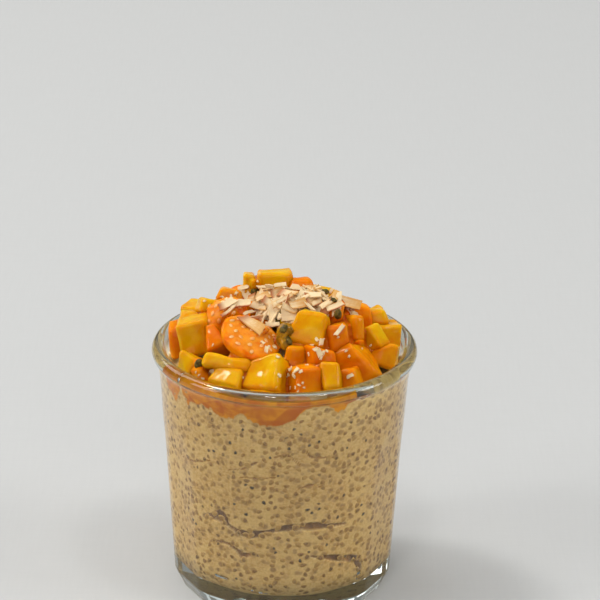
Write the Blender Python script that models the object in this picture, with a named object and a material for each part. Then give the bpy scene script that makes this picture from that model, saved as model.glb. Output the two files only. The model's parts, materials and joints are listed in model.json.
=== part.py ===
"""Chia pudding in a tumbler with twelve flat panels, heaped with diced mango, physalis halves,
passion-fruit pulp and toasted coconut.

Metres, +Z up. The origin is the centre of the glass's foot, on the table. The side with the large
physalis half faces -Y. Angles round the glass ("turn") start at -Y and grow towards +X.
"""
import math
import random

import bmesh
import bpy
from mathutils import Matrix, Vector
from mathutils.bvhtree import BVHTree

MM = 0.001
GAP = 0.3  # between neighbouring solids, mm

# Glass, mm
GLASS_HEIGHT = 86.0
RIM_RADIUS = 44.0
BEAD_RADIUS = 2.4
NECK_RADIUS = 41.4
NECK_Z = 75.5
HEEL_RADIUS = 37.1  # where the wall ends and the flats that narrow to the foot begin
HEEL_Z = 5.8
FOOT_RADIUS = 34.3
PUNT_RADIUS = 27.0
PUNT_DEPTH = 1.0
BASE_THICKNESS = 8.0
MOUTH_RADIUS = 39.2
FLOOR_RADIUS = 34.3
FLOOR_FILLET = 8.0
PANELS = 12
PANEL_HALF_ANGLE = 11.2
PANEL_SHOULDER_Z = 49.0
PANEL_TOP_Z = 63.0

# Pudding, mm
PUDDING_EDGE_Z = 84.3
PUDDING_FRONT_DIP = 8.8
PUDDING_SEGMENTS = 48
CRACK_DEPTH = 1.6

# Heap of fruit, mm
HEAP_TOP_Z = 104.0
HEAP_BASE_Z = 84.0
HEAP_SPREAD = 40.0
HEAP_OFFSET_Y = 3.0
CHAMFER = 0.7
SCRAP = 30.0  # a piece with less volume than this, mm3, is left out

YELLOW = (0.80, 0.42, 0.010)
ORANGE = (0.72, 0.24, 0.008)
AMBER = (0.78, 0.33, 0.008)
DEEP = (0.42, 0.09, 0.004)
SKIN = (0.76, 0.25, 0.006)

# Dice of fruit: name, colour, centre, size (wide, deep, high), turn / lean / roll, top narrower by.
# The ones that lie in front keep their form, and those behind are cut back to clear them.
DICE = (
    ("mango_01", YELLOW, (-5.2, -28.5, 86.3), (12.0, 10.0, 12.5), (-30, -40, -10), 0.25),
    ("mango_02", ORANGE, (6.2, -29.5, 84.7), (8.5, 9.0, 9.5), (25, -15, 0), 0.0),
    ("mango_03", YELLOW, (14.6, -28.0, 84.8), (6.0, 10.0, 8.5), (0, -42, -6), 0.0),
    ("mango_04", ORANGE, (21.4, -26.0, 84.0), (7.0, 8.5, 7.0), (-15, -12, -15), 0.15),
    ("mango_06", YELLOW, (-17.9, -22.8, 90.1), (14.5, 8.0, 7.8), (-6, -30, 5), 0.0),
    ("mango_05", YELLOW, (-16.8, -28.4, 86.2), (12.0, 6.5, 10.0), (-28, -44, 4), 0.4),
    ("mango_22", YELLOW, (8.3, -13.6, 96.6), (11.0, 9.5, 10.5), (-14, -24, 8), 0.12),
    ("mango_17", ORANGE, (10.8, -21.8, 90.2), (8.8, 9.0, 12.8), (16, -20, -6), 0.0),
    ("mango_09", ORANGE, (23.6, -18.5, 85.6), (13.0, 11.5, 9.0), (35, 30, 35), 0.0),
    ("mango_12", YELLOW, (34.2, 3.5, 86.2), (10.5, 11.0, 10.0), (14, -15, 0), -0.1),
    ("mango_07", YELLOW, (-31.3, -16.5, 84.2), (7.0, 8.0, 7.0), (-15, -30, 20), 0.0),
    ("mango_08", ORANGE, (-25.8, -22.6, 83.8), (7.5, 7.5, 8.0), (10, 0, -35), 0.2),
    ("mango_13", YELLOW, (28.5, -7.5, 90.0), (7.0, 8.0, 7.5), (60, -38, 5), 0.2),
    ("mango_10", AMBER, (33.0, -8.0, 85.6), (10.5, 9.5, 7.5), (20, -10, 25), 0.2),
    ("mango_11", YELLOW, (36.0, -1.5, 84.0), (6.5, 8.0, 7.5), (-5, -25, -20), 0.3),
    ("mango_14", YELLOW, (-29.6, -4.0, 89.2), (9.5, 11.0, 12.0), (-5, -10, -12), 0.0),
    ("mango_15", ORANGE, (-35.6, 2.0, 85.8), (6.5, 9.0, 10.0), (10, -5, -12), 0.3),
    ("mango_16", DEEP, (17.6, -19.0, 87.4), (9.0, 8.5, 9.0), (10, -30, 0), 0.0),
    ("mango_18", AMBER, (2.6, -22.5, 89.3), (8.0, 8.0, 8.5), (-20, -10, 0), 0.2),
    ("mango_19", ORANGE, (17.2, -13.8, 93.4), (7.0, 9.0, 8.5), (0, -15, -10), 0.0),
    ("mango_20", AMBER, (22.8, -7.0, 94.2), (8.0, 8.5, 8.0), (35, -20, 8), 0.0),
    ("mango_21", ORANGE, (23.0, -13.0, 90.8), (8.0, 7.5, 6.5), (25, -20, 10), 0.2),
    ("mango_23", ORANGE, (-23.0, -11.0, 90.8), (8.0, 9.5, 9.0), (-15, -40, -35), 0.3),
    ("mango_24", YELLOW, (-23.0, 5.0, 94.0), (12.0, 11.5, 8.5), (15, -25, 14), 0.1),
    ("mango_25", AMBER, (-18.5, 11.5, 97.3), (9.0, 8.0, 4.5), (0, -15, 8), 0.2),
    ("mango_26", YELLOW, (31.0, 5.5, 91.4), (7.0, 8.0, 7.5), (0, -15, -15), 0.3),
    ("mango_27", ORANGE, (16.5, -3.6, 97.4), (9.0, 9.0, 8.0), (0, -30, 20), 0.2),
    ("mango_28", ORANGE, (5.4, 11.5, 101.0), (9.0, 8.0, 5.5), (5, -12, 4), 0.4),
    ("mango_29", YELLOW, (-3.6, 14.2, 101.8), (11.5, 8.5, 6.5), (4, -12, 1), -0.05),
    ("mango_30", YELLOW, (-11.8, 15.5, 100.4), (6.5, 8.5, 6.5), (-2, -14, 2), 0.1),
)

# Dice in the middle, under the coconut: colour, centre, turn, size.
MIDDLE_DICE = (
    (YELLOW, (1.0, -4.5, 96.2), 20.0, 10.0),
    (ORANGE, (9.5, 0.5, 96.6), -15.0, 10.5),
    (YELLOW, (-2.0, 5.5, 97.2), 40.0, 10.0),
    (AMBER, (12.5, 8.5, 94.6), 10.0, 9.5),
    (ORANGE, (-8.5, 3.5, 95.2), -10.0, 9.0),
)

# Dice pressed against the front wall under the rim: colour, turn, wide, high, centre height.
LOW_DICE = (
    (ORANGE, -47.0, 10.5, 6.0, 81.0),
    (AMBER, -29.0, 11.5, 8.0, 80.0),
    (YELLOW, -9.0, 11.5, 8.5, 79.3),
    (AMBER, 9.5, 10.0, 7.5, 80.3),
    (YELLOW, 26.0, 9.0, 6.0, 80.8),
)

# The far side of the heap, which is a guess. Each ring: distance out, width of its dice, how much
# lower they lie than the front, turns.
BACK_RINGS = (
    (33.0, 13.0, 2.8, (102.0, 122.0, 163.0, 184.0, 236.0, 255.0)),
    (22.0, 12.5, 5.4, (112.0, 145.0, 178.0, 212.0)),
)

# Halved physalis: name, centre of the cut face, radius, depth, the way that the cut face looks.
HALVES = (
    ("physalis_01", (-10.8, -17.0, 94.8), 10.2, 6.5, (0.36, -0.26, 0.90)),
    ("physalis_02", (-19.6, -5.5, 95.6), 8.5, 6.0, (-0.30, -0.62, 0.72)),
    ("physalis_03", (-11.5, -5.5, 98.2), 9.0, 6.5, (0.10, -0.38, 0.92)),
    ("physalis_04", (23.6, 3.2, 90.2), 9.6, 8.4, (-0.40, -0.05, -0.91)),
    ("physalis_05", (-15.0, 24.0, 87.5), 9.0, 8.0, (0.25, -0.30, -0.92)),
    ("physalis_06", (16.0, 21.0, 90.0), 9.4, 6.5, (0.10, 0.55, 0.83)),
)

# Pulp of passion fruit: centre and size of the lump, and where its large seeds lie.
PULP_CENTRE = (0.4, -15.8, 94.8)
PULP_SIZE = (6.8, 7.5, 10.0)
SEED_SIZE = (3.2, 1.8, 4.2)
SEEDS = (
    ("passionfruit_pulp", (0.2, -19.6, 93.0)),
    ("passionfruit_pulp", (2.6, -18.6, 97.6)),
    ("mango_08", (-27.6, -22.8, 87.0)),
    ("mango_27", (17.4, -7.6, 98.6)),
    ("mango_30", (-10.2, 11.0, 102.0)),
)

# Coconut: outline of the pile over the middle of the heap, and the size of its flakes.
PILE_CENTRE = (4.5, -1.0)
PILE_SIZE = (35.0, 15.5)
PILE_CORE = 1.0
FLAKES = 30
FLAKE_LENGTH = (3.5, 8.0)
FLAKE_WIDTH = (1.6, 3.6)
FLAKE_THICKNESS = 0.7

# Cracks that show through the wall: half height of the gap, then (turn, height) along it.
CRACKS = (
    (1.0, ((-48, 34.5), (-41, 36), (-31, 36.5), (-21, 32.5), (-12, 33.5), (2, 35.5), (22, 35), (37, 34))),
    (2.1, ((-40, 36.3), (-36, 36.6), (-32, 36.2))),
    (0.8, ((-41, 26), (-29, 27.4), (-20, 24.6), (-9, 24.8))),
    (0.8, ((15, 24.5), (22, 23), (33, 21), (43, 18.8), (45, 11))),
)


def clear_scene():
    for item in list(bpy.data.objects):
        bpy.data.objects.remove(item, do_unlink=True)


def make_material(name, colour, roughness, transmission=0.0):
    material = bpy.data.materials.new(name)
    material.use_nodes = True
    shader = material.node_tree.nodes["Principled BSDF"]
    shader.inputs["Base Color"].default_value = (*colour, 1.0)
    shader.inputs["Roughness"].default_value = roughness
    shader.inputs["Metallic"].default_value = 0.0
    shader.inputs["Transmission Weight"].default_value = transmission
    material.diffuse_color = (*colour, 1.0)
    return material


def make_object(name, bm, material, smooth_angle=None):
    """Close the bmesh, given in mm, into a named object in metres."""
    bmesh.ops.triangulate(bm, faces=[f for f in bm.faces if len(f.verts) > 4])
    bmesh.ops.recalc_face_normals(bm, faces=bm.faces)
    bmesh.ops.scale(bm, vec=(MM, MM, MM), verts=bm.verts)
    mesh = bpy.data.meshes.new(name)
    bm.to_mesh(mesh)
    bm.free()
    mesh.materials.append(material)
    if smooth_angle is not None:
        mesh.shade_smooth()
        mesh.set_sharp_from_angle(angle=math.radians(smooth_angle))
    item = bpy.data.objects.new(name, mesh)
    bpy.context.scene.collection.objects.link(item)
    return item


def around(turn, radius, z):
    """A point at an angle round the glass, from -Y towards +X."""
    angle = math.radians(turn)
    return Vector((radius * math.sin(angle), -radius * math.cos(angle), z))


def mix(a, b, share):
    return a + (b - a) * share


def inner_radius(z):
    rise = GLASS_HEIGHT - BEAD_RADIUS - BASE_THICKNESS
    return mix(FLOOR_RADIUS, MOUTH_RADIUS, (z - BASE_THICKNESS) / rise)


def outer_radius(z):
    return mix(HEEL_RADIUS, NECK_RADIUS, (z - HEEL_Z) / (NECK_Z - HEEL_Z))


# ---------------------------------------------------------------- glass


def panel_angle(z):
    """Half the angle that a flat panel takes at a height: full width below, an arch at its top."""
    if z <= PANEL_SHOULDER_Z:
        return PANEL_HALF_ANGLE
    if z >= PANEL_TOP_Z:
        return 0.0
    share = (z - PANEL_SHOULDER_Z) / (PANEL_TOP_Z - PANEL_SHOULDER_Z)
    return PANEL_HALF_ANGLE * math.sqrt(1.0 - share * share)


def panelled_radius(turn, radius, z):
    """A ring of the outside, cut flat by the nearest panel."""
    half = panel_angle(z)
    pitch = 360.0 / PANELS
    off = (turn + pitch / 2.0) % pitch - pitch / 2.0
    if abs(off) >= half:
        return radius
    return radius * math.cos(math.radians(half)) / math.cos(math.radians(off))


def glass_turns():
    pitch = 360.0 / PANELS
    steps = (-pitch / 2.0, -PANEL_HALF_ANGLE, -PANEL_HALF_ANGLE / 2.0, 0.0, PANEL_HALF_ANGLE / 2.0,
             PANEL_HALF_ANGLE)
    return [panel * pitch + step for panel in range(PANELS) for step in steps]


def glass_profile():
    """(radius, z, panelled) from the middle of the underside, up the outside and down the inside."""
    rows = [(PUNT_RADIUS * 0.5, PUNT_DEPTH, False), (PUNT_RADIUS, PUNT_DEPTH * 0.8, False)]
    rows.append((PUNT_RADIUS + 1.5, 0.0, False))
    rows.append((FOOT_RADIUS, 0.0, True))
    for z in (HEEL_Z, PANEL_SHOULDER_Z, 54.0, 58.5, 61.5, PANEL_TOP_Z, NECK_Z):
        rows.append((outer_radius(z), z, True))
    centre = RIM_RADIUS - BEAD_RADIUS
    top = GLASS_HEIGHT - BEAD_RADIUS
    for angle in (-60, -28, 2, 32, 62, 92, 124, 156, 180):
        bend = math.radians(angle)
        rows.append((centre + BEAD_RADIUS * math.cos(bend), top + BEAD_RADIUS * math.sin(bend), False))
    for z in (40.0, BASE_THICKNESS + FLOOR_FILLET):
        rows.append((inner_radius(z), z, False))
    edge = inner_radius(BASE_THICKNESS + FLOOR_FILLET) - FLOOR_FILLET
    for angle in (22, 45, 67, 90):
        bend = math.radians(angle)
        rows.append((edge + FLOOR_FILLET * math.cos(bend),
                     BASE_THICKNESS + FLOOR_FILLET * (1.0 - math.sin(bend)), False))
    rows.append((edge * 0.5, BASE_THICKNESS - 0.2, False))
    return rows


def make_glass(material):
    bm = bmesh.new()
    turns = glass_turns()
    rings = []
    for radius, z, panelled in glass_profile():
        ring = []
        for turn in turns:
            r = panelled_radius(turn, radius, z) if panelled else radius
            ring.append(bm.verts.new(around(turn, r, z)))
        rings.append(ring)
    count = len(turns)
    for low, high in zip(rings, rings[1:]):
        for i in range(count):
            j = (i + 1) % count
            bm.faces.new((low[i], low[j], high[j], high[i]))
    for ring, z in ((rings[0], PUNT_DEPTH), (rings[-1], BASE_THICKNESS - 0.2)):
        hub = bm.verts.new((0.0, 0.0, z))
        for i in range(count):
            bm.faces.new((ring[i], ring[(i + 1) % count], hub))
    return make_object("glass", bm, material, 30.0)


# ---------------------------------------------------------------- convex pieces


class Piece:
    """A convex piece, kept as the corner points of its hull in mm."""

    def __init__(self, name, colour, points):
        self.name = name
        self.colour = colour
        self.bm = None
        self.wrap(points)

    def wrap(self, points):
        if self.bm is not None:
            self.bm.free()
        bm = bmesh.new()
        self.bm = bm
        if len(points) < 4:
            return
        for point in points:
            bm.verts.new(point)
        bmesh.ops.remove_doubles(bm, verts=bm.verts, dist=0.1)
        hull = bmesh.ops.convex_hull(bm, input=bm.verts)
        spare = {e for e in hull["geom_interior"] + hull["geom_unused"] if isinstance(e, bmesh.types.BMVert)}
        bmesh.ops.delete(bm, geom=list(spare), context="VERTS")
        bmesh.ops.dissolve_limit(bm, angle_limit=math.radians(1.0), verts=bm.verts, edges=bm.edges)
        bmesh.ops.recalc_face_normals(bm, faces=bm.faces)

    def points(self):
        return [v.co.copy() for v in self.bm.verts]

    def normals(self):
        return [f.normal.copy() for f in self.bm.faces]

    def centre(self):
        points = self.points()
        return sum(points, Vector()) / len(points)

    def reach(self, direction):
        return max(p.dot(direction) for p in self.points())

    def cut(self, normal, distance):
        """Keep the side of the plane where dot(normal, point) is under distance."""
        if self.reach(normal) <= distance:
            return
        geometry = self.bm.verts[:] + self.bm.edges[:] + self.bm.faces[:]
        bmesh.ops.bisect_plane(self.bm, geom=geometry, dist=1e-5, plane_co=normal * distance,
                               plane_no=normal, clear_outer=True)
        self.wrap(self.points())

    def volume(self):
        return self.bm.calc_volume()

    def chamfer(self, size):
        """Blunt every edge by a flat, so that the piece stays convex."""
        cuts = []
        for edge in self.bm.edges:
            if len(edge.link_faces) != 2 or edge.calc_face_angle() < math.radians(35.0):
                continue
            normal = (edge.link_faces[0].normal + edge.link_faces[1].normal).normalized()
            middle = (edge.verts[0].co + edge.verts[1].co) * 0.5
            cuts.append((normal, middle.dot(normal) - size * math.sin(edge.calc_face_angle() * 0.5)))
        for normal, distance in cuts:
            self.cut(normal, distance)


def dice_points(centre, size, angles, taper, rng):
    """Corners of a box cut by hand: a little uneven, narrower at its top."""
    turn, lean, roll = (math.radians(a) for a in angles)
    spin = Matrix.Rotation(turn, 3, "Z") @ Matrix.Rotation(lean, 3, "X") @ Matrix.Rotation(roll, 3, "Y")
    points = []
    for up in (-0.5, 0.5):
        narrow = 1.0 - taper * (up + 0.5)
        for across, deep in ((-0.5, -0.5), (0.5, -0.5), (0.5, 0.5), (-0.5, 0.5)):
            corner = Vector((across * size[0] * narrow, deep * size[1] * narrow, up * size[2]))
            uneven = Vector([rng.uniform(-0.5, 0.5) for _ in range(3)])
            points.append(Vector(centre) + spin @ (corner + uneven))
    return points


def half_ball_points(centre, radius, depth, look):
    """A halved fruit: a flat cut face with a rounded body behind it."""
    spin = Vector(look).normalized().to_track_quat("Z", "Y").to_matrix()
    points = []
    for share, sides in ((0.0, 16), (0.34, 14), (0.64, 11), (0.88, 7), (0.99, 3)):
        ring = radius * math.sqrt(1.0 - share * share)
        for i in range(sides):
            angle = 2.0 * math.pi * (i + 0.5 * share) / sides
            local = Vector((ring * math.cos(angle), ring * math.sin(angle), -depth * share))
            points.append(Vector(centre) + spin @ local)
    return points


def lump_points(centre, size, rng, count=26):
    points = []
    for i in range(count):
        height = 1.0 - 2.0 * (i + 0.5) / count
        ring = math.sqrt(1.0 - height * height)
        angle = i * 2.39996
        bulge = rng.uniform(0.92, 1.06) * 0.5
        points.append(Vector(centre) + bulge * Vector((size[0] * ring * math.cos(angle),
                                                      size[1] * ring * math.sin(angle), size[2] * height)))
    return points


def heap_z(x, y):
    return mix(HEAP_TOP_Z, HEAP_BASE_Z, (x * x + (y - HEAP_OFFSET_Y) ** 2) / HEAP_SPREAD ** 2)


def trim_to_mouth(piece):
    """Keep a piece inside the wall, with flats along it."""
    slope = (MOUTH_RADIUS - FLOOR_RADIUS) / (GLASS_HEIGHT - BEAD_RADIUS - BASE_THICKNESS)
    middle = piece.centre()
    turn = math.degrees(math.atan2(middle.x, -middle.y))
    for off in (0.0, -11.0, 11.0, -24.0, 24.0):
        outward = around(turn + off, 1.0, 0.0)
        normal = Vector((outward.x, outward.y, -slope)).normalized()
        clear = (inner_radius(80.0) - GAP - 0.25) * math.cos(math.radians(6.5))
        on_wall = outward * clear + Vector((0.0, 0.0, 80.0))
        piece.cut(normal, normal.dot(on_wall))


def part_from(kept, piece):
    """Cut a piece back so that it clears one that is kept, by the flat that takes the least away."""
    best = None
    towards = piece.centre() - kept.centre()
    for normal in kept.normals() + [-n for n in piece.normals()]:
        if normal.dot(towards) < 0.15 * towards.length:
            continue
        depth = kept.reach(normal) + piece.reach(-normal)
        if depth <= -GAP:
            return
        if best is None or depth < best[0]:
            best = (depth, normal)
    if best is not None:
        normal = best[1]
        piece.cut(-normal, -(kept.reach(normal) + GAP * 1.15))


def seed_pieces():
    """Large seeds, each with the name of the piece that it is stuck to."""
    rng = random.Random(3)
    seeds = []
    for host, centre in SEEDS:
        seeds.append((host, Piece("seed", DEEP, lump_points(centre, SEED_SIZE, rng, 14))))
    return seeds


def settle(seed, host):
    """Stick a seed to the nearest spot of its piece."""
    spot, normal, _, _ = heap_tree([host]).find_nearest(seed.centre())
    shift = spot + normal * 0.3 - seed.centre()
    seed.wrap([point + shift for point in seed.points()])


def fruit_pieces(seeds):
    rng = random.Random(11)
    halves = [Piece(name, SKIN, half_ball_points(centre, radius, depth, look))
              for name, centre, radius, depth, look in HALVES]
    dice = [Piece(name, colour, dice_points(centre, size, angles, taper, rng))
            for name, colour, centre, size, angles, taper in DICE]
    pulp = Piece("passionfruit_pulp", DEEP, lump_points(PULP_CENTRE, PULP_SIZE, rng))
    order = halves[:1] + dice[:8] + [pulp] + dice[8:21] + halves[3:4] + dice[21:23] + halves[1:3] + dice[23:]
    for index, (colour, turn, wide, high, z) in enumerate(LOW_DICE):
        centre = around(turn, inner_radius(z) - 4.2, z)
        angles = (turn + rng.uniform(-6, 6), -4, rng.uniform(-8, 8))
        points = dice_points(centre, (wide, 8.0, high), angles, 0.0, rng)
        order.append(Piece(f"mango_{31 + index}", colour, points))
    for index, (colour, centre, turn, size) in enumerate(MIDDLE_DICE):
        angles = (turn, rng.uniform(-14, 14), rng.uniform(-14, 14))
        points = dice_points(centre, (size, size, size * 0.85), angles, 0.1, rng)
        order.append(Piece(f"mango_{36 + index}", colour, points))
    order += halves[4:]
    number = 41
    for out, wide, drop, turns in BACK_RINGS:
        for turn in turns:
            spot = around(turn + rng.uniform(-3, 3), out + rng.uniform(-1.5, 0.5), 0.0)
            size = [wide * rng.uniform(0.78, 1.08) for _ in range(3)]
            spot.z = heap_z(spot.x, spot.y) - size[2] * 0.22 - drop
            angles = (turn + rng.uniform(-35, 35), rng.uniform(-30, 20), rng.uniform(-25, 25))
            colour = (YELLOW, ORANGE, AMBER)[rng.choice((0, 0, 1, 2))]
            points = dice_points(spot, size, angles, rng.uniform(0, 0.3), rng)
            order.append(Piece(f"mango_{number}", colour, points))
            number += 1
    kept = []
    for piece in order:
        trim_to_mouth(piece)
        for other in kept:
            if piece.volume() > SCRAP:
                part_from(other, piece)
        if piece.volume() > SCRAP:
            kept.append(piece)
    for host, seed in seeds:
        settle(seed, next(piece for piece in kept if piece.name == host))
    for piece in kept:
        for host, seed in seeds:
            if piece.name != host:
                part_from(seed, piece)
        if not piece.name.startswith(("physalis", "passion")):
            piece.chamfer(CHAMFER)
    return kept


# ---------------------------------------------------------------- pudding


def surface_samples(piece, step):
    """Points over the faces and edges of a piece."""
    samples = piece.points()
    for edge in piece.bm.edges:
        a, b = (v.co for v in edge.verts)
        parts = max(1, int((b - a).length / step))
        samples += [a.lerp(b, i / parts) for i in range(1, parts)]
    for face in piece.bm.faces:
        middle = face.calc_center_median()
        for corner in face.verts:
            parts = max(1, int((corner.co - middle).length / step))
            samples += [middle.lerp(corner.co, i / parts) for i in range(parts)]
    return samples


def heap_tree(pieces):
    verts = []
    faces = []
    for piece in pieces:
        base = len(verts)
        piece.bm.verts.index_update()
        verts += piece.points()
        faces += [[base + v.index for v in f.verts] for f in piece.bm.faces]
    return BVHTree.FromPolygons(verts, faces)


class Field:
    """A height over a grid of (x, y) points joined by triangles, moved to clear what touches it."""

    def __init__(self, spots, triangles, heights):
        self.spots = spots
        self.triangles = triangles
        self.heights = heights
        self.flatten()

    def flatten(self):
        self.flat = BVHTree.FromPolygons([Vector((x, y, 0.0)) for x, y in self.spots], self.triangles)

    def facing_samples(self, tree, below):
        """Where the fruit meets vertical lines through the grid's corners and the middles of its sides."""
        start, way = (-50.0, 1.0) if below else (150.0, -1.0)
        places = set(self.spots)
        for triangle in self.triangles:
            for a, b in zip(triangle, triangle[1:] + triangle[:1]):
                (xa, ya), (xb, yb) = self.spots[a], self.spots[b]
                places.add(((xa + xb) * 0.5, (ya + yb) * 0.5))
        hits = [tree.ray_cast(Vector((x, y, start)), Vector((0.0, 0.0, way)))[0] for x, y in sorted(places)]
        return [hit for hit in hits if hit is not None]

    def clear(self, samples, room, below):
        """Move corners down (or up) until each sample lies above (or below) the surface by room."""
        sign = -1.0 if below else 1.0
        for point in samples:
            hit = self.flat.ray_cast(Vector((point.x, point.y, 1.0)), Vector((0.0, 0.0, -1.0)))
            if hit[2] is None:
                continue
            corners = self.triangles[hit[2]]
            weights = barycentric(point, [self.spots[c] for c in corners])
            height = sum(w * self.heights[c] for w, c in zip(weights, corners))
            excess = sign * (point.z + sign * room - height)
            if excess > 0.0:
                for c in corners:
                    self.heights[c] += sign * excess

    def prisms(self):
        """Each triangle of the surface as the corner points of a thin block under it."""
        blocks = []
        for triangle in self.triangles:
            corners = [Vector((*self.spots[c], self.heights[c])) for c in triangle]
            blocks.append(corners + [corner - Vector((0.0, 0.0, 1.0)) for corner in corners])
        return blocks


def barycentric(point, corners):
    (x0, y0), (x1, y1), (x2, y2) = corners
    area = (x1 - x0) * (y2 - y0) - (x2 - x0) * (y1 - y0)
    b = ((point.x - x0) * (y2 - y0) - (x2 - x0) * (point.y - y0)) / area
    c = ((x1 - x0) * (point.y - y0) - (point.x - x0) * (y1 - y0)) / area
    return (1.0 - b - c, b, c)


def front_dip(turn):
    """How far the pudding's edge lies lower where fruit is pressed to the front wall."""
    off = abs(math.degrees(turn) + 9.0)
    share = min(1.0, max(0.0, (52.0 - off) / 30.0))
    return PUDDING_FRONT_DIP * share * share * (3.0 - 2.0 * share)


def pudding_radius(z):
    return inner_radius(z) * math.cos(math.pi / PUDDING_SEGMENTS) - GAP - 0.1


def pudding_field(pieces):
    """The top of the pudding, pressed down under each piece of fruit."""
    edge = pudding_radius(PUDDING_EDGE_Z)
    rings = (4.0, 8.0, 12.0, 16.0, 20.0, 24.0, 28.0, 31.5, 34.5, 36.8, edge)
    spots = [(0.0, 0.0)]
    for ring in rings:
        for i in range(PUDDING_SEGMENTS):
            spot = around(i * 360.0 / PUDDING_SEGMENTS, ring, 0.0)
            spots.append((spot.x, spot.y))
    triangles = []
    for i in range(PUDDING_SEGMENTS):
        j = (i + 1) % PUDDING_SEGMENTS
        triangles.append((0, 1 + i, 1 + j))
        for k in range(len(rings) - 1):
            a, b = 1 + k * PUDDING_SEGMENTS, 1 + (k + 1) * PUDDING_SEGMENTS
            triangles.append((a + i, b + i, b + j))
            triangles.append((a + i, b + j, a + j))
    heights = []
    for x, y in spots:
        turn = math.atan2(x, -y)
        ripple = 0.5 * math.sin(2.0 * turn + 0.6) + 0.3 * math.sin(5.0 * turn)
        level = PUDDING_EDGE_Z + ripple - front_dip(turn)
        dome = heap_z(x, y) - 11.0
        heights.append(max(level, dome) if math.hypot(x, y) < 30.0 else level)
    field = Field(spots, triangles, heights)
    tree = heap_tree(pieces)
    for _ in range(3):
        field.clear(field.facing_samples(tree, True), GAP * 1.6, True)
        for piece in pieces:
            field.clear(surface_samples(piece, 0.7), GAP * 1.6, True)
        for index in range(len(spots) - PUDDING_SEGMENTS, len(spots)):
            spot = Vector(field.spots[index])
            field.spots[index] = tuple(spot * (pudding_radius(field.heights[index]) / spot.length))
        field.flatten()
    return field


def make_pudding(field, material):
    bm = bmesh.new()
    count = PUDDING_SEGMENTS
    top = []
    last = len(field.spots) - count
    for (x, y), z in zip(field.spots, field.heights):
        top.append(bm.verts.new((x, y, z)))
    for a, b, c in field.triangles:
        bm.faces.new((top[a], top[b], top[c]))
    above = top[last:]
    floor = BASE_THICKNESS + GAP
    fillet = FLOOR_FILLET - GAP
    rows = [(pudding_radius(z), z) for z in (68.0, 45.0, 22.0, floor + fillet)]
    edge = rows[-1][0] - fillet
    rows += [(edge + fillet * math.cos(math.radians(a)), floor + fillet * (1.0 - math.sin(math.radians(a))))
             for a in (22, 45, 67, 90)]
    for radius, z in rows:
        ring = [bm.verts.new(around(i * 360.0 / count, radius, z)) for i in range(count)]
        for i in range(count):
            j = (i + 1) % count
            bm.faces.new((above[i], ring[i], ring[j], above[j]))
        above = ring
    bm.faces.new(list(reversed(above)))
    return make_object("pudding", bm, material, 40.0)


def crack_cutter(half_height, path, index):
    """A slit with pointed ends, cut into the side along a path round the glass."""
    bm = bmesh.new()
    stations = []
    for (t0, z0), (t1, z1) in zip(path, path[1:]):
        steps = max(2, int(abs(t1 - t0) / 4.0))
        stations += [(mix(t0, t1, i / steps), mix(z0, z1, i / steps)) for i in range(steps)]
    stations.append(path[-1])
    rings = []
    for k, (turn, z) in enumerate(stations):
        share = k / (len(stations) - 1)
        swell = half_height * (0.25 + 0.75 * math.sin(math.pi * share) ** 0.5)
        swell *= 1.0 + 0.22 * math.sin(k * 2.1)
        radius = inner_radius(z)
        depth = CRACK_DEPTH * (0.5 + 0.5 * math.sin(math.pi * share))
        corners = ((radius + 1.5, z + swell), (radius - depth, z + swell * 0.25),
                   (radius - depth, z - swell * 0.35), (radius + 1.5, z - swell))
        rings.append([bm.verts.new(around(turn, r, h)) for r, h in corners])
    for a, b in zip(rings, rings[1:]):
        for i in range(4):
            j = (i + 1) % 4
            bm.faces.new((a[i], a[j], b[j], b[i]))
    bm.faces.new(rings[0])
    bm.faces.new(rings[-1])
    cutter = make_object(f"crack_cutter_{index}", bm, bpy.data.materials["pudding"])
    return cutter


def apply_boolean(item, others, operation):
    """Join or cut with one Boolean, applied, and remove the other objects."""
    group = bpy.data.collections.new("operands")
    bpy.context.scene.collection.children.link(group)
    for other in others:
        bpy.context.scene.collection.objects.unlink(other)
        group.objects.link(other)
    modifier = item.modifiers.new("join", "BOOLEAN")
    modifier.operation = operation
    modifier.operand_type = "COLLECTION"
    modifier.collection = group
    modifier.solver = "EXACT"
    depsgraph = bpy.context.evaluated_depsgraph_get()
    mesh = bpy.data.meshes.new_from_object(item.evaluated_get(depsgraph))
    item.modifiers.remove(modifier)
    item.data = mesh
    mesh.name = item.name
    for other in others:
        bpy.data.objects.remove(other, do_unlink=True)
    bpy.data.collections.remove(group)


def drop_scraps(item):
    """Remove whatever did not fuse to the main body."""
    bm = bmesh.new()
    bm.from_mesh(item.data)
    left = set(bm.verts)
    bodies = []
    while left:
        body = set()
        front = [left.pop()]
        while front:
            vert = front.pop()
            body.add(vert)
            for edge in vert.link_edges:
                other = edge.other_vert(vert)
                if other in left:
                    left.remove(other)
                    front.append(other)
        bodies.append(body)
    bodies.sort(key=len)
    for body in bodies[:-1]:
        bmesh.ops.delete(bm, geom=list(body), context="VERTS")
    bm.to_mesh(item.data)
    bm.free()


# ---------------------------------------------------------------- seeds and coconut


def box_points(centre, spin, size):
    return [Vector(centre) + spin @ Vector((x * size[0], y * size[1], z * size[2]))
            for x in (-0.5, 0.5) for y in (-0.5, 0.5) for z in (-0.5, 0.5)]


def in_pile(x, y):
    """Under 1 inside the outline of the pile."""
    u = (x - PILE_CENTRE[0]) / (PILE_SIZE[0] * 0.5)
    v = (y - PILE_CENTRE[1]) / (PILE_SIZE[1] * 0.5)
    wave = 1.0 + 0.10 * math.sin(3.0 * math.atan2(v, u) + 0.7)
    return math.hypot(u, v) / wave


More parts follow.
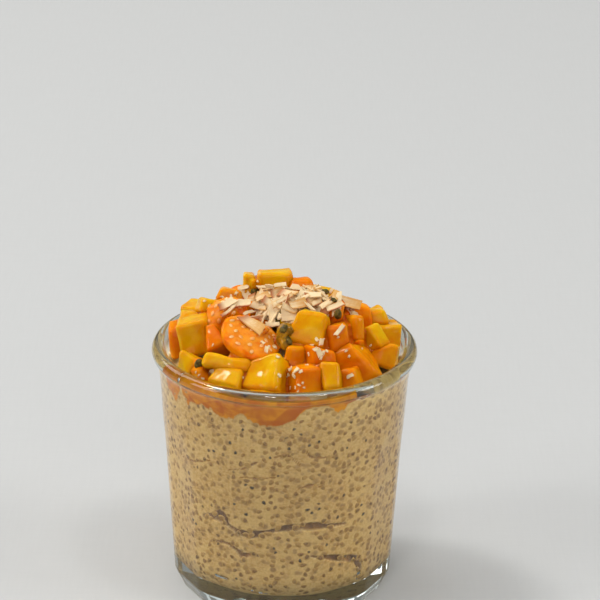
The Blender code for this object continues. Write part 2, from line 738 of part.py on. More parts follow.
def pile_field(pieces, tree):
    """The underside of the coconut pile, lying over the tops of the fruit."""
    step = 2.7
    spots = []
    index = {}
    for i in range(-8, 9):
        for j in range(-6, 7):
            x = PILE_CENTRE[0] + i * step
            y = PILE_CENTRE[1] + j * step
            if in_pile(x, y) < 1.0:
                index[(i, j)] = len(spots)
                spots.append((x, y))
    triangles = []
    for i, j in index:
        square = [(i, j), (i + 1, j), (i + 1, j + 1), (i, j + 1)]
        if all(corner in index for corner in square):
            a, b, c, d = (index[corner] for corner in square)
            triangles += [(a, b, c), (a, c, d)]
    used = sorted({corner for triangle in triangles for corner in triangle})
    renumber = {old: new for new, old in enumerate(used)}
    spots = [spots[old] for old in used]
    triangles = [tuple(renumber[c] for c in t) for t in triangles]
    heights = []
    for x, y in spots:
        tops = []
        for dx in (-3.0, -1.5, 0.0, 1.5, 3.0):
            for dy in (-3.0, -1.5, 0.0, 1.5, 3.0):
                hit = tree.ray_cast(Vector((x + dx, y + dy, 140.0)), Vector((0.0, 0.0, -1.0)))
                if hit[0] is not None:
                    tops.append(hit[0].z)
        tops.sort()
        heights.append(tops[int(len(tops) * 0.8)] if tops else heap_z(x, y))
    field = Field(spots, triangles, heights)
    for _ in range(2):
        field.clear(field.facing_samples(tree, False), GAP * 1.6, False)
        for piece in pieces:
            field.clear(surface_samples(piece, 0.6), GAP * 1.6, False)
    return field


def make_pile_core(field, material):
    bm = bmesh.new()
    low = [bm.verts.new((x, y, z)) for (x, y), z in zip(field.spots, field.heights)]
    high = []
    for (x, y), z in zip(field.spots, field.heights):
        thick = PILE_CORE * (0.7 + 0.9 * max(0.0, 1.0 - in_pile(x, y)))
        high.append(bm.verts.new((x, y, z + thick)))
    sides = {}
    for a, b, c in field.triangles:
        bm.faces.new((high[a], high[b], high[c]))
        bm.faces.new((low[c], low[b], low[a]))
        for edge in ((a, b), (b, c), (c, a)):
            sides[edge] = True
    for a, b in sides:
        if (b, a) not in sides:
            bm.faces.new((low[a], low[b], high[b], high[a]))
    return make_object("coconut", bm, material)


def surface_height(field, x, y):
    hit = field.flat.ray_cast(Vector((x, y, 1.0)), Vector((0.0, 0.0, -1.0)))
    if hit[2] is None:
        return None
    corners = field.triangles[hit[2]]
    weights = barycentric(Vector((x, y, 0.0)), [field.spots[c] for c in corners])
    return sum(w * field.heights[c] for w, c in zip(weights, corners))


def clears(centre, spin, size, tree, room):
    """True where a flake, larger by room all round, lies above the fruit."""
    points = box_points(centre, spin, [side + 2.0 * room for side in size])
    for test in points + [Vector(centre)]:
        hit = tree.ray_cast(Vector((test.x, test.y, 140.0)), Vector((0.0, 0.0, -1.0)))
        if hit[0] is not None and hit[0].z > test.z:
            return False
    return not heap_tree([Piece("grown", ORANGE, points)]).overlap(tree)


def make_flakes(field, tree, material):
    rng = random.Random(5)
    flakes = []
    tries = 0
    while len(flakes) < FLAKES and tries < 900:
        tries += 1
        x = PILE_CENTRE[0] + rng.uniform(-0.5, 0.5) * PILE_SIZE[0]
        y = PILE_CENTRE[1] + rng.uniform(-0.5, 0.5) * PILE_SIZE[1]
        z = surface_height(field, x, y)
        if z is None:
            continue
        size = (rng.uniform(*FLAKE_LENGTH), rng.uniform(*FLAKE_WIDTH), FLAKE_THICKNESS)
        slope_x = ((surface_height(field, x + 1.0, y) or z) - z) / 1.0
        slope_y = ((surface_height(field, x, y + 1.0) or z) - z) / 1.0
        up = Vector((-slope_x + rng.uniform(-0.2, 0.2), -slope_y + rng.uniform(-0.2, 0.2), 1.0))
        spin = up.to_track_quat("Z", "Y").to_matrix() @ Matrix.Rotation(rng.uniform(0, math.pi), 3, "Z")
        centre = Vector((x, y, z + PILE_CORE + rng.uniform(-0.1, 0.25)))
        if clears(centre, spin, size, tree, GAP * 1.2):
            points = box_points(centre, spin, size)
            flakes.append(make_object("flake", Piece("flake", ORANGE, points).bm, material))
    return flakes


def make_leaning_flake(centre, look, size, material):
    spin = Vector(look).normalized().to_track_quat("Z", "Y").to_matrix() @ Matrix.Rotation(0.5, 3, "Z")
    return make_object("flake", Piece("flake", ORANGE, box_points(centre, spin, size)).bm, material)


# ---------------------------------------------------------------- build


def build():
    clear_scene()
    glass = make_material("glass", (0.80, 0.88, 0.87), 0.03, 1.0)
    pudding = make_material("pudding", (0.47, 0.30, 0.14), 0.55)
    coconut = make_material("coconut", (0.80, 0.62, 0.42), 0.7)
    pulp = make_material("passionfruit_pulp", (0.10, 0.06, 0.015), 0.15)
    make_glass(glass)
    seeds = seed_pieces()
    pieces = fruit_pieces(seeds)
    solids = pieces + [seed for host, seed in seeds]
    top = pudding_field(solids)
    block = make_pudding(top, pudding)
    cutters = [crack_cutter(half, path, i) for i, (half, path) in enumerate(CRACKS)]
    apply_boolean(block, cutters, "DIFFERENCE")
    tree = heap_tree(solids + [Piece("top", YELLOW, corner) for corner in top.prisms()])
    field = pile_field(solids, tree)
    core = make_pile_core(field, coconut)
    apply_boolean(core, make_flakes(field, tree, coconut), "UNION")
    drop_scraps(core)
    colours = {}
    for piece in pieces:
        if piece.name.startswith("passion"):
            material = pulp
        else:
            if piece.colour not in colours:
                colours[piece.colour] = make_material(f"fruit_{len(colours) + 1}", piece.colour, 0.22)
            material = colours[piece.colour]
        smooth = 40.0 if piece.name.startswith(("physalis", "passion")) else None
        item = make_object(piece.name, piece.bm, material, smooth)
        added = [make_object("seed", seed.bm, pulp) for host, seed in seeds if host == piece.name]
        if piece.name == "physalis_01":
            flake = make_leaning_flake((-9.5, -16.0, 95.2), (0.1, -0.45, 0.9), (7.5, 3.2, 0.8), coconut)
            added.append(flake)
        if added:
            apply_boolean(item, added, "UNION")


build()
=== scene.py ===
import json
import math
import random

import bpy
import numpy as np
from mathutils import Matrix, Vector
from mathutils.bvhtree import BVHTree

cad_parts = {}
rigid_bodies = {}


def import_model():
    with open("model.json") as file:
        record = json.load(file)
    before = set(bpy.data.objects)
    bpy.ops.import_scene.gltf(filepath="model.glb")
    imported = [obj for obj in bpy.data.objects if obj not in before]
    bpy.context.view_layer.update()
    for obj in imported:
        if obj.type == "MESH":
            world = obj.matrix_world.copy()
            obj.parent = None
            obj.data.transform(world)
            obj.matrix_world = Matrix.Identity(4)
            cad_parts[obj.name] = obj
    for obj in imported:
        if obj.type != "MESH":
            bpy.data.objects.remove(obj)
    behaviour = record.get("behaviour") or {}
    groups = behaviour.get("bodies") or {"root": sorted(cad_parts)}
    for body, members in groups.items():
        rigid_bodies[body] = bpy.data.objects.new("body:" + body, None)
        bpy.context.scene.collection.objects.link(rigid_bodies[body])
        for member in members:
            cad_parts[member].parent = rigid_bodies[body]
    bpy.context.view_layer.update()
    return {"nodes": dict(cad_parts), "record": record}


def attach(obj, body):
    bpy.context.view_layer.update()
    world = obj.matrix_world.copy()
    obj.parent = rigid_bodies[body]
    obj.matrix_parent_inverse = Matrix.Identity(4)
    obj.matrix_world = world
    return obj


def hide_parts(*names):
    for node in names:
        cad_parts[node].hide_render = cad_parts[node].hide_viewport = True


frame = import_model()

# Chia pudding in a panelled glass. Shapes are worked out in millimetres and stored in metres.
# Angles round the glass ("turn") start at -Y and grow towards +X.

MM = 0.001

# Glass
GLASS_HEIGHT = 86.0
RIM_RADIUS = 44.0
BEAD_RADIUS = 2.4
BEAD_Z = GLASS_HEIGHT - BEAD_RADIUS
NECK_Z = 75.5
NECK_RADIUS = 41.4
HEEL_Z = 5.8
HEEL_RADIUS = 37.1
FOOT_RADIUS = 34.3
HOLLOW_Z = 1.0
BASE_THICKNESS = 8.0
FLOOR_DIP = 0.2
INNER_RADIUS = 34.3
FLOOR_FILLET = 8.0
FILLET_TOP = BASE_THICKNESS + FLOOR_FILLET
PANELS = 12
PANEL_HALF_ANGLE = 11.2
PANEL_SHOULDER_Z = 49.0
PANEL_TOP_Z = 63.0
ARRIS = 0.12

# What is in it: how far pudding and juice reach into the wall, how far fruit stays behind it,
# and where things end
INTO_WALL = 0.12
JUICE_INTO_WALL = 0.17
BEHIND_WALL = 0.12
PUDDING_TOP = 81.5
EDGE_INSET = 1.1
EDGE_RADIUS = 37.6
JUICE_TOP = 82.2
SYRUP_LOW = 77.0
HIGHEST = 105.3
ABOVE_ALL = 130.0
SEED_COUNT = 1650
PILE_FLAKES = 112

# Points round the large round pieces, and rows of points up the side of the pudding
GLASS_COUNT = 300
PUDDING_COUNT = 450
PUDDING_ROWS = 130

# Soft pieces: sizes of their faces, how far they swell, and how near counts as touching
FLESH_VOXEL = 0.40
PHYSALIS_VOXEL = 0.42
SYRUP_VOXEL = 0.55
SWELL = 0.17
SYRUP_SWELL = 0.55
SYRUP_SHRINK = 1.25
TOUCH_REACH = 4.0

# Camera: where it stands, where it looks, and the focal length in pixels of a 600 pixel frame
CAMERA_AT = Vector((0.0, -825.9792, 441.0331))
CAMERA_RIGHT = Vector((0.999926, -0.00073, 0.012103))
CAMERA_UP = Vector((-0.010913, 0.380882, 0.924559))
CAMERA_AHEAD = Vector((0.005285, 0.924623, -0.380846))
FOCAL = 2712.27
CENTRE = (299.357, 300.174)
PIXELS = 600.0


# ---------------- shapes in numbers


def wall_in(z):
    """Radius of the inside of the wall at a height."""
    share = (z - BASE_THICKNESS) / (BEAD_Z - BASE_THICKNESS)
    return INNER_RADIUS + (RIM_RADIUS - 2.0 * BEAD_RADIUS - INNER_RADIUS) * share


def wall_out(z):
    """Radius of the outside of the wall at a height, below the bead."""
    return HEEL_RADIUS + (NECK_RADIUS - HEEL_RADIUS) * (z - HEEL_Z) / (NECK_Z - HEEL_Z)


def fillet_radius(z):
    """Radius of the inside at a height on the rounded edge of the floor."""
    rise = FLOOR_FILLET ** 2 - (FILLET_TOP - z) ** 2
    return wall_in(FILLET_TOP) - FLOOR_FILLET + math.sqrt(max(0.0, rise))


def smooth(low, high, x):
    t = np.clip((x - low) / (high - low), 0.0, 1.0)
    return t * t * (3.0 - 2.0 * t)


def ripple(points, size, seed, waves=7):
    """A smooth wavy value of about -1 to 1 at each point, for waves of about that size in mm."""
    rng = np.random.default_rng(seed)
    total = np.zeros(len(points))
    for _ in range(waves):
        way = rng.normal(size=3)
        way *= rng.uniform(0.7, 1.5) * 2.0 * math.pi / (size * np.linalg.norm(way))
        total += np.sin(points @ way + rng.uniform(0.0, 2.0 * math.pi))
    return total / math.sqrt(waves)


def around(turn, radius, z):
    angle = math.radians(turn)
    return Vector((radius * math.sin(angle), -radius * math.cos(angle), z))


def ring(turns, radius, z):
    """Points at these turns. radius and z are one number, or one for each turn."""
    angle = np.radians(turns)
    return np.stack((radius * np.sin(angle), -radius * np.cos(angle), z + 0.0 * angle), 1)


def pixel_way(px, py):
    """The direction from the camera in which a pixel looks."""
    way = CAMERA_AHEAD * FOCAL + CAMERA_RIGHT * (px - CENTRE[0]) - CAMERA_UP * (py - CENTRE[1])
    return way.normalized()


def on_wall(px, py):
    """The point of the inner wall, nearest the camera, that a pixel shows, as (turn, z)."""
    way = pixel_way(px, py)
    z = 45.0
    for _ in range(6):
        a = way.x ** 2 + way.y ** 2
        b = CAMERA_AT.x * way.x + CAMERA_AT.y * way.y
        c = CAMERA_AT.x ** 2 + CAMERA_AT.y ** 2 - wall_in(z) ** 2
        at = CAMERA_AT + way * ((-b - math.sqrt(b * b - a * c)) / a)
        z = at.z
    return math.degrees(math.atan2(at.x, -at.y)), z


def path_on_wall(path):
    """Turns and heights of a path given in pixels."""
    return np.array([on_wall(x, y) for x, y in path]).T


def seen(tree, px, py):
    """Where a pixel's line of sight meets a search tree, and which way the surface looks there."""
    return tree.ray_cast(CAMERA_AT, pixel_way(px, py))[:2]


def below(tree, x, y):
    """Where a line straight down meets a search tree, and which way the surface looks there."""
    return tree.ray_cast(Vector((x, y, ABOVE_ALL)), Vector((0.0, 0.0, -1.0)))[:2]


def basis(up, spin):
    """The matrix that stands a part along a direction and spins it about that."""
    stood = Vector(up).normalized().to_track_quat("Z", "Y").to_matrix()
    return np.array(stood @ Matrix.Rotation(spin, 3, "Z"))


# ---------------- mesh helpers


def add_item(name, data):
    item = bpy.data.objects.new(name, data)
    bpy.context.scene.collection.objects.link(item)
    return item


def add_piece(name, verts, faces, material, values=None):
    """A mesh object from points in mm. values are numbers kept with each point."""
    mesh = bpy.data.meshes.new(name)
    mesh.from_pydata((np.asarray(verts, float) * MM).tolist(), [], faces)
    mesh.materials.append(material)
    for key, data in (values or {}).items():
        set_values(mesh, key, data)
    mesh.shade_smooth()
    return add_item(name, mesh)


def joined(name, parts, material, keys=()):
    """One piece from parts, each given as points, faces and values."""
    faces = []
    total = 0
    for part_verts, part_faces, _ in parts:
        faces += [tuple(total + i for i in face) for face in part_faces]
        total += len(part_verts)
    values = {key: np.concatenate([part[2][key] for part in parts]) for key in keys}
    return add_piece(name, np.concatenate([part[0] for part in parts]), faces, material, values)


def closed_rings(rings, low, high):
    """Points and faces of a body: rings of points, with one more point to close each end."""
    count = len(rings[0])
    last = (len(rings) - 1) * count
    faces = []
    for first in range(0, last, count):
        for i in range(count):
            j = (i + 1) % count
            faces.append((first + i, first + j, first + count + j, first + count + i))
    for i in range(count):
        j = (i + 1) % count
        faces.append((j, i, last + count))
        faces.append((last + i, last + j, last + count + 1))
    return np.concatenate([*rings, [low, high]]), faces


def cap(sides, angles, low):
    """Points and faces of a unit ball's upper part: rings at these angles from its top, lowest first."""
    turns = np.arange(sides) * 360.0 / sides + 90.0
    rings = [ring(turns, math.sin(a), math.cos(a)) for a in np.radians(angles)]
    return closed_rings(rings, (0.0, 0.0, low), (0.0, 0.0, 1.0))


def slab_faces(rows, columns):
    """Faces of a slab: a grid of points in rows for one side, the same again for the other."""
    n = rows * columns
    faces = []
    rim = []
    for i in range(rows - 1):
        for j in range(columns - 1):
            a = i * columns + j
            b = a + columns
            faces.append((a, b, b + 1, a + 1))
            faces.append((n + a + 1, n + b + 1, n + b, n + a))
        rim += [(i * columns, (i + 1) * columns), ((i + 2) * columns - 1, (i + 1) * columns - 1)]
    for j in range(columns - 1):
        rim += [(j + 1, j), (n - columns + j, n - columns + j + 1)]
    return faces + [(a, n + a, n + b, b) for a, b in rim]


def finish_piece(item, nodes=()):
    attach(item, "root")
    if nodes:
        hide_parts(*nodes)
    return item


def set_values(mesh, key, data):
    layer = mesh.attributes.new(key, "FLOAT", "POINT")
    layer.data.foreach_set("value", np.asarray(data, np.float32))


def get_points(mesh):
    co = np.empty(len(mesh.vertices) * 3)
    mesh.vertices.foreach_get("co", co)
    return co.reshape(-1, 3) / MM


def set_points(mesh, points):
    mesh.vertices.foreach_set("co", (points * MM).ravel())
    mesh.update()


def relax(mesh, rounds, share=0.5):
    """Round a mesh off by moving each point towards its neighbours."""
    co = get_points(mesh)
    edges = np.empty(len(mesh.edges) * 2, int)
    mesh.edges.foreach_get("vertices", edges)
    a, b = edges.reshape(-1, 2).T
    ends = np.concatenate((a, b))
    others = np.concatenate((b, a))
    count = np.maximum(np.bincount(ends, minlength=len(co)), 1)[:, None]
    for _ in range(rounds):
        near = [np.bincount(ends, weights=co[others, k], minlength=len(co)) for k in range(3)]
        co += (np.stack(near, 1) / count - co) * share
    set_points(mesh, co)


def normals_of(mesh):
    out = np.empty(len(mesh.vertices) * 3)
    mesh.vertex_normals.foreach_get("vector", out)
    return out.reshape(-1, 3)


def remeshed(node, voxel):
    """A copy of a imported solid's mesh, made of small even faces."""
    item = frame["nodes"][node].copy()
    item.data = item.data.copy()
    item.hide_viewport = False
    return even_mesh(item, voxel)


def even_mesh(item, voxel):
    """The mesh of a scratch object made of small even faces. The object is used up."""
    bpy.context.scene.collection.objects.link(item)
    change = item.modifiers.new("even", "REMESH")
    change.mode = "VOXEL"
    change.voxel_size = voxel * MM
    depsgraph = bpy.context.evaluated_depsgraph_get()
    mesh = bpy.data.meshes.new_from_object(item.evaluated_get(depsgraph))
    bpy.data.objects.remove(item, do_unlink=True)
    mesh.materials.clear()
    return mesh


def tree_of(items, parts=()):
    """A search tree of objects, and of loose parts given as points and faces, in mm."""
    verts = []
    faces = []
    for item in items:
        base = len(verts)
        verts += get_points(item.data).tolist()
        faces += [[base + v for v in poly.vertices] for poly in item.data.polygons]
    for part_verts, part_faces, _ in parts:
        base = len(verts)
        verts += part_verts.tolist()
        faces += [[base + v for v in face] for face in part_faces]
    return BVHTree.FromPolygons(verts, faces)


# ---------------- node helpers


class Shade:
    """A material's node tree, with short calls to add and join nodes."""

    def __init__(self, name):
        self.material = bpy.data.materials.new(name)
        self.material.use_nodes = True
        self.tree = self.material.node_tree
        self.shader = self.tree.nodes["Principled BSDF"]
        place = self.node("TexCoord", {}).outputs["Object"]
        self.mm = self.node("VectorMath", {0: place, "Scale": 1.0 / MM}, operation="SCALE").outputs[0]

    def put(self, socket, value):
        if isinstance(value, bpy.types.NodeSocket):
            self.tree.links.new(value, socket)
        elif isinstance(value, tuple) and len(value) == 3 and socket.type == "RGBA":
            socket.default_value = (*value, 1.0)
        else:
            socket.default_value = value

    def set(self, **values):
        for key, value in values.items():
            self.put(self.shader.inputs[key.replace("_", " ")], value)

    def node(self, kind, inputs, **settings):
        node = self.tree.nodes.new("ShaderNode" + kind)
        for key, value in settings.items():
            setattr(node, key, value)
        for key, value in inputs.items():
            self.put(node.inputs[key], value)
        return node

    def value(self, key):
        return self.node("Attribute", {}, attribute_name=key).outputs["Fac"]

    def stretched(self, stretch):
        if stretch is None:
            return self.mm
        return self.node("Mapping", {"Vector": self.mm, "Scale": stretch}).outputs[0]

    def noise(self, scale, detail=3.0, rough=0.5, stretch=None, warp=0.0):
        return self.node("TexNoise", {"Vector": self.stretched(stretch), "Scale": scale, "Detail": detail,
                                      "Roughness": rough, "Distortion": warp}).outputs["Fac"]

    def patches(self, low, high, scale, detail=3.0, rough=0.5, stretch=None, warp=0.0):
        """Noise with its values between low and high spread from 0 to 1."""
        return self.ramp(self.noise(scale, detail, rough, stretch, warp), low, high)

    def cells(self, scale, stretch):
        """Distance to the middle of a cell, and a number for each cell."""
        node = self.node("TexVoronoi", {"Vector": self.stretched(stretch), "Scale": scale})
        pick = self.node("SeparateColor", {0: node.outputs["Color"]})
        return node.outputs["Distance"], pick.outputs[0]

    def line_noise(self, value, scale):
        """Noise along one number, such as the distance across a shaving."""
        inputs = {"W": value, "Scale": scale, "Detail": 2.0}
        return self.node("TexNoise", inputs, noise_dimensions="1D").outputs["Fac"]

    def ramp(self, value, low, high, to_low=0.0, to_high=1.0, kind="SMOOTHSTEP"):
        inputs = {"Value": value, "From Min": low, "From Max": high, "To Min": to_low, "To Max": to_high}
        return self.node("MapRange", inputs, interpolation_type=kind).outputs["Result"]

    def math(self, operation, a, b):
        return self.node("Math", {0: a, 1: b}, operation=operation).outputs[0]

    def mix(self, share, a, b, most=None):
        """Colour b over colour a by a share, which most makes smaller."""
        if most is not None:
            share = self.math("MULTIPLY", share, most)
        return self.node("Mix", {0: share, 6: a, 7: b}, data_type="RGBA").outputs[2]

    def bump(self, height, distance, strength):
        inputs = {"Height": height, "Distance": distance * MM, "Strength": strength}
        self.set(Normal=self.node("Bump", inputs).outputs[0])


def scattering(shade, weight, radius, scale):
    shade.set(Subsurface_Weight=weight, Subsurface_Scale=scale * MM, Subsurface_Radius=radius)


# ---------------- materials

WET_COAT = {"Coat_Weight": 0.55, "Coat_Roughness": 0.04, "Coat_IOR": 1.33}

TAN = (0.485, 0.298, 0.092)
TAN_LIGHT = (0.57, 0.38, 0.135)
TAN_DEEP = (0.36, 0.185, 0.034)

# Colours of the flesh: light, dark, and a deeper orange painted as shade where pieces touch
FLESH = {
    "mango_yellow": ((0.672, 0.361, 0.002), (0.635, 0.255, 0.001), (0.607, 0.163, 0.001)),
    "mango_amber": ((0.69, 0.299, 0.002), (0.653, 0.207, 0.001), (0.598, 0.132, 0.001)),
    "mango_orange": ((0.727, 0.238, 0.001), (0.662, 0.15, 0.001), (0.515, 0.088, 0.001)),
}


def glass_material():
    """Clear glass with green absorption through its body, its colour painted darker grey-green towards the
    top: painted shade for the long paths of light through the thick rim.
    """
    shade = Shade("clear_glass")
    height = shade.node("SeparateXYZ", {0: shade.mm}).outputs["Z"]
    # painted shade: above 80.6 mm the glass colour turns darker grey-green, standing for how the thick rim
    # looks
    tint = shade.mix(shade.ramp(height, 80.6, 82.4), (0.97, 0.985, 0.98), (0.50, 0.57, 0.535))
    shade.set(Base_Color=tint, Roughness=0.0, IOR=1.5, Transmission_Weight=1.0)
    clear = shade.node("BsdfTransparent", {"Color": (0.93, 0.95, 0.94)})
    shadow = shade.node("LightPath", {}).outputs["Is Shadow Ray"]
    both = shade.node("MixShader", {0: shadow, 1: shade.shader.outputs[0], 2: clear.outputs[0]})
    green = shade.node("VolumeAbsorption", {"Color": (0.60, 0.80, 0.74), "Density": 7.0})
    out = next(n for n in shade.tree.nodes if n.type == "OUTPUT_MATERIAL")
    shade.put(out.inputs["Surface"], both.outputs[0])
    shade.put(out.inputs["Volume"], green.outputs[0])
    return shade.material


def pudding_colour(shade):
    """Tan with soft clouds, and soaked seeds that show through it as soft spots."""
    colour = shade.mix(shade.patches(0.35, 0.68, 0.09, 3.0, 0.55), TAN, TAN_LIGHT)
    streaks = shade.patches(0.5, 0.72, 0.55, 4.0, 0.6, (0.5, 0.5, 1.5), 0.6)
    colour = shade.mix(streaks, colour, TAN_DEEP, 0.5)
    colour = shade.mix(shade.patches(0.36, 0.64, 1.3, 4.0, 0.7), colour, (0.71, 0.50, 0.23), 0.6)
    colour = shade.mix(shade.patches(0.54, 0.70, 2.6, 3.0, 0.65), colour, (0.24, 0.12, 0.035), 0.5)
    for scale, low, high, tint, most, seen_from in (
            (0.36, 0.22, 0.54, (0.22, 0.115, 0.045), 0.74, 0.2),
            (0.47, 0.18, 0.48, (0.27, 0.165, 0.075), 0.66, 0.3)):
        distance, pick = shade.cells(scale, (1.0, 1.0, 1.12))
        spot = shade.ramp(distance, low, high, 1.0, 0.0)
        colour = shade.mix(spot, colour, tint, shade.ramp(pick, seen_from, 1.0, 0.0, most))
    return colour


def pudding_side_material():
    shade = Shade("pudding_at_the_glass")
    # painted shade: the cracks are coloured dark brown, standing for the shade inside them
    crack_shade = shade.ramp(shade.value("crack_shade_mask"), 0.0, 0.9)
    colour = shade.mix(crack_shade, pudding_colour(shade), (0.23, 0.09, 0.004), 0.9)
    shade.set(Base_Color=colour, Roughness=0.75, Specular_IOR_Level=0.0)
    scattering(shade, 0.2, (1.0, 0.6, 0.3), 0.8)
    shade.bump(shade.noise(1.6, 4.0, 0.6), 0.08, 0.5)
    return shade.material


def pudding_top_material():
    shade = Shade("pudding_top")
    colour = shade.mix(shade.value("juice"), pudding_colour(shade), (0.42, 0.13, 0.008))
    shade.set(Base_Color=colour, Roughness=0.32, Coat_Weight=0.5, Coat_Roughness=0.12)
    scattering(shade, 0.35, (1.0, 0.7, 0.4), 1.2)
    shade.bump(shade.noise(1.4, 4.0, 0.6), 0.25, 0.6)
    return shade.material


def seed_material():
    """Soaked chia seeds: brown to blue-grey, marbled, fading into the gel round them."""
    shade = Shade("soaked_seed")
    marble = shade.patches(0.34, 0.68, 1.7, 3.0, 0.6)
    brown = shade.mix(marble, (0.33, 0.185, 0.075), (0.15, 0.07, 0.022))
    grey = shade.mix(marble, (0.13, 0.105, 0.07), (0.016, 0.015, 0.016))
    colour = shade.mix(shade.value("dark"), brown, grey)
    colour = shade.mix(shade.value("ink"), (0.47, 0.288, 0.09), colour)
    shade.set(Base_Color=colour, Roughness=0.45, Specular_IOR_Level=0.0)
    scattering(shade, 0.15, (1.0, 0.7, 0.5), 0.5)
    return shade.material


def mango_material(slot):
    light, dark, contact_shade = FLESH[slot]
    shade = Shade(slot + "_flesh")
    tone = shade.math("ADD", shade.patches(0.34, 0.66, 0.14, 3.0, 0.55), shade.value("tone"))
    colour = shade.mix(shade.ramp(tone, 0.0, 1.0, kind="LINEAR"), light, dark)
    fibre = shade.patches(0.5, 0.74, 0.8, 4.0, 0.6, (1.0, 1.0, 0.3), 0.4)
    colour = shade.mix(fibre, colour, tuple(min(0.95, c * 1.16 + 0.003) for c in light), 0.24)
    # painted shade: the flesh turns deeper orange near other pieces, standing for the shade between them
    colour = shade.mix(shade.value("near"), colour, contact_shade, 0.62)
    shade.set(Base_Color=colour, Roughness=0.3, IOR=1.36, Specular_IOR_Level=0.0, **WET_COAT)
    scattering(shade, 0.72, (1.0, 0.42, 0.08), 2.0)
    fine = shade.math("MULTIPLY", shade.noise(1.1, 3.0, 0.55), 0.22)
    shade.bump(shade.math("ADD", shade.noise(0.35, 3.0, 0.5), fine), 0.36, 0.3)
    return shade.material


def physalis_material():
    shade = Shade("physalis_flesh")
    skin = shade.mix(shade.patches(0.35, 0.65, 0.2), (0.80, 0.25, 0.001), (0.70, 0.14, 0.001))
    cut = shade.mix(shade.patches(0.3, 0.7, 0.35, 3.0, 0.6), (0.80, 0.28, 0.022), (0.70, 0.175, 0.009))
    colour = shade.mix(shade.value("cut"), skin, cut)
    shade.set(Base_Color=colour, Roughness=0.25, IOR=1.36, Specular_IOR_Level=0.0, **WET_COAT)
    scattering(shade, 0.72, (1.0, 0.38, 0.10), 1.9)
    shade.bump(shade.noise(0.8, 3.0, 0.6), 0.34, 0.4)
    return shade.material


def berry_seed_material():
    shade = Shade("physalis_seed")
    colour = shade.mix(shade.noise(1.5), (0.88, 0.55, 0.24), (0.84, 0.40, 0.12))
    colour = shade.mix(shade.value("ink"), (0.84, 0.28, 0.03), colour)
    shade.set(Base_Color=colour, Roughness=0.3, Coat_Weight=0.4, Coat_Roughness=0.1)
    scattering(shade, 0.5, (1.0, 0.6, 0.3), 0.8)
    return shade.material


def pulp_material():
    shade = Shade("pulp_gel")
    patches = shade.patches(0.38, 0.62, 0.4, 3.0, 0.6)
    colour = shade.mix(patches, (0.44, 0.21, 0.006), (0.20, 0.10, 0.004))
    shade.set(Base_Color=colour, Roughness=0.2, Specular_IOR_Level=0.2, Specular_Tint=(1.0, 0.75, 0.4),
              Coat_Weight=0.5, Coat_Roughness=0.03, Coat_IOR=1.28)
    scattering(shade, 0.5, (1.0, 0.5, 0.1), 2.0)
    shade.bump(shade.noise(0.8, 2.0), 0.4, 0.7)
    return shade.material


def dark_seed_material():
    shade = Shade("large_seed")
    marks = shade.patches(0.36, 0.64, 1.2, 4.0, 0.6)
    colour = shade.mix(marks, (0.15, 0.10, 0.018), (0.045, 0.032, 0.007))
    shade.set(Base_Color=colour, Roughness=0.4, Specular_IOR_Level=0.12, Specular_Tint=(1.0, 0.8, 0.5),
              Coat_Weight=0.35, Coat_Roughness=0.05, Coat_IOR=1.26)
    shade.bump(shade.noise(2.4), 0.12, 0.7)
    return shade.material


def coconut_material():
    """Cream shavings, streaked along their length, some toasted and some edged with brown skin."""
    shade = Shade("coconut_flake")
    cream = shade.mix(shade.noise(0.9, 3.0, 0.6), (0.82, 0.68, 0.44), (0.73, 0.54, 0.30))
    strand = shade.line_noise(shade.value("strand"), 2.6)
    toast = shade.math("ADD", shade.value("toast"), shade.ramp(strand, 0.40, 0.68, -0.06, 0.12))
    colour = shade.mix(shade.ramp(toast, 0.30, 1.1), cream, (0.64, 0.35, 0.115))
    colour = shade.mix(shade.ramp(shade.value("skin"), 0.30, 1.0), colour, (0.46, 0.175, 0.075))
    shade.set(Base_Color=colour, Roughness=0.5, Specular_IOR_Level=0.0)
    scattering(shade, 0.12, (1.0, 0.75, 0.5), 0.6)
    shade.bump(shade.math("ADD", strand, shade.noise(2.6, 3.0, 0.6)), 0.10, 0.5)
    return shade.material


def juice_material():
    """Juice and flat pieces of fruit, as they show through the wall."""
    shade = Shade("fruit_juice")
    pick = shade.cells(0.115, (1.0, 1.0, 1.5))[1]
    cloud = shade.patches(0.34, 0.66, 0.22, 3.0, 0.6, (1.0, 1.0, 1.6))
    tone = shade.math("ADD", shade.math("MULTIPLY", cloud, 0.45), shade.math("MULTIPLY", pick, 0.75))
    colour = shade.mix(shade.ramp(tone, 0.15, 0.95), (0.40, 0.098, 0.001), (0.58, 0.215, 0.001))
    colour = shade.mix(shade.ramp(shade.value("thin"), 0.0, 1.0), colour, TAN)
    shade.set(Base_Color=colour, Roughness=0.6, Specular_IOR_Level=0.0)
    scattering(shade, 0.35, (1.0, 0.5, 0.2), 1.2)
    return shade.material


def syrup_material():
    shade = Shade("syrup")
    cloud = shade.patches(0.35, 0.65, 0.16, 3.0, 0.55)
    shade.set(Base_Color=shade.mix(cloud, (0.64, 0.15, 0.001), (0.42, 0.07, 0.001)), Roughness=0.12,
              IOR=1.36, Specular_IOR_Level=0.35, Specular_Tint=(1.0, 0.62, 0.25))
    scattering(shade, 0.9, (1.0, 0.32, 0.05), 1.8)
    shade.bump(shade.noise(0.6, 2.0), 0.2, 0.4)
    return shade.material


# ---------------- glass


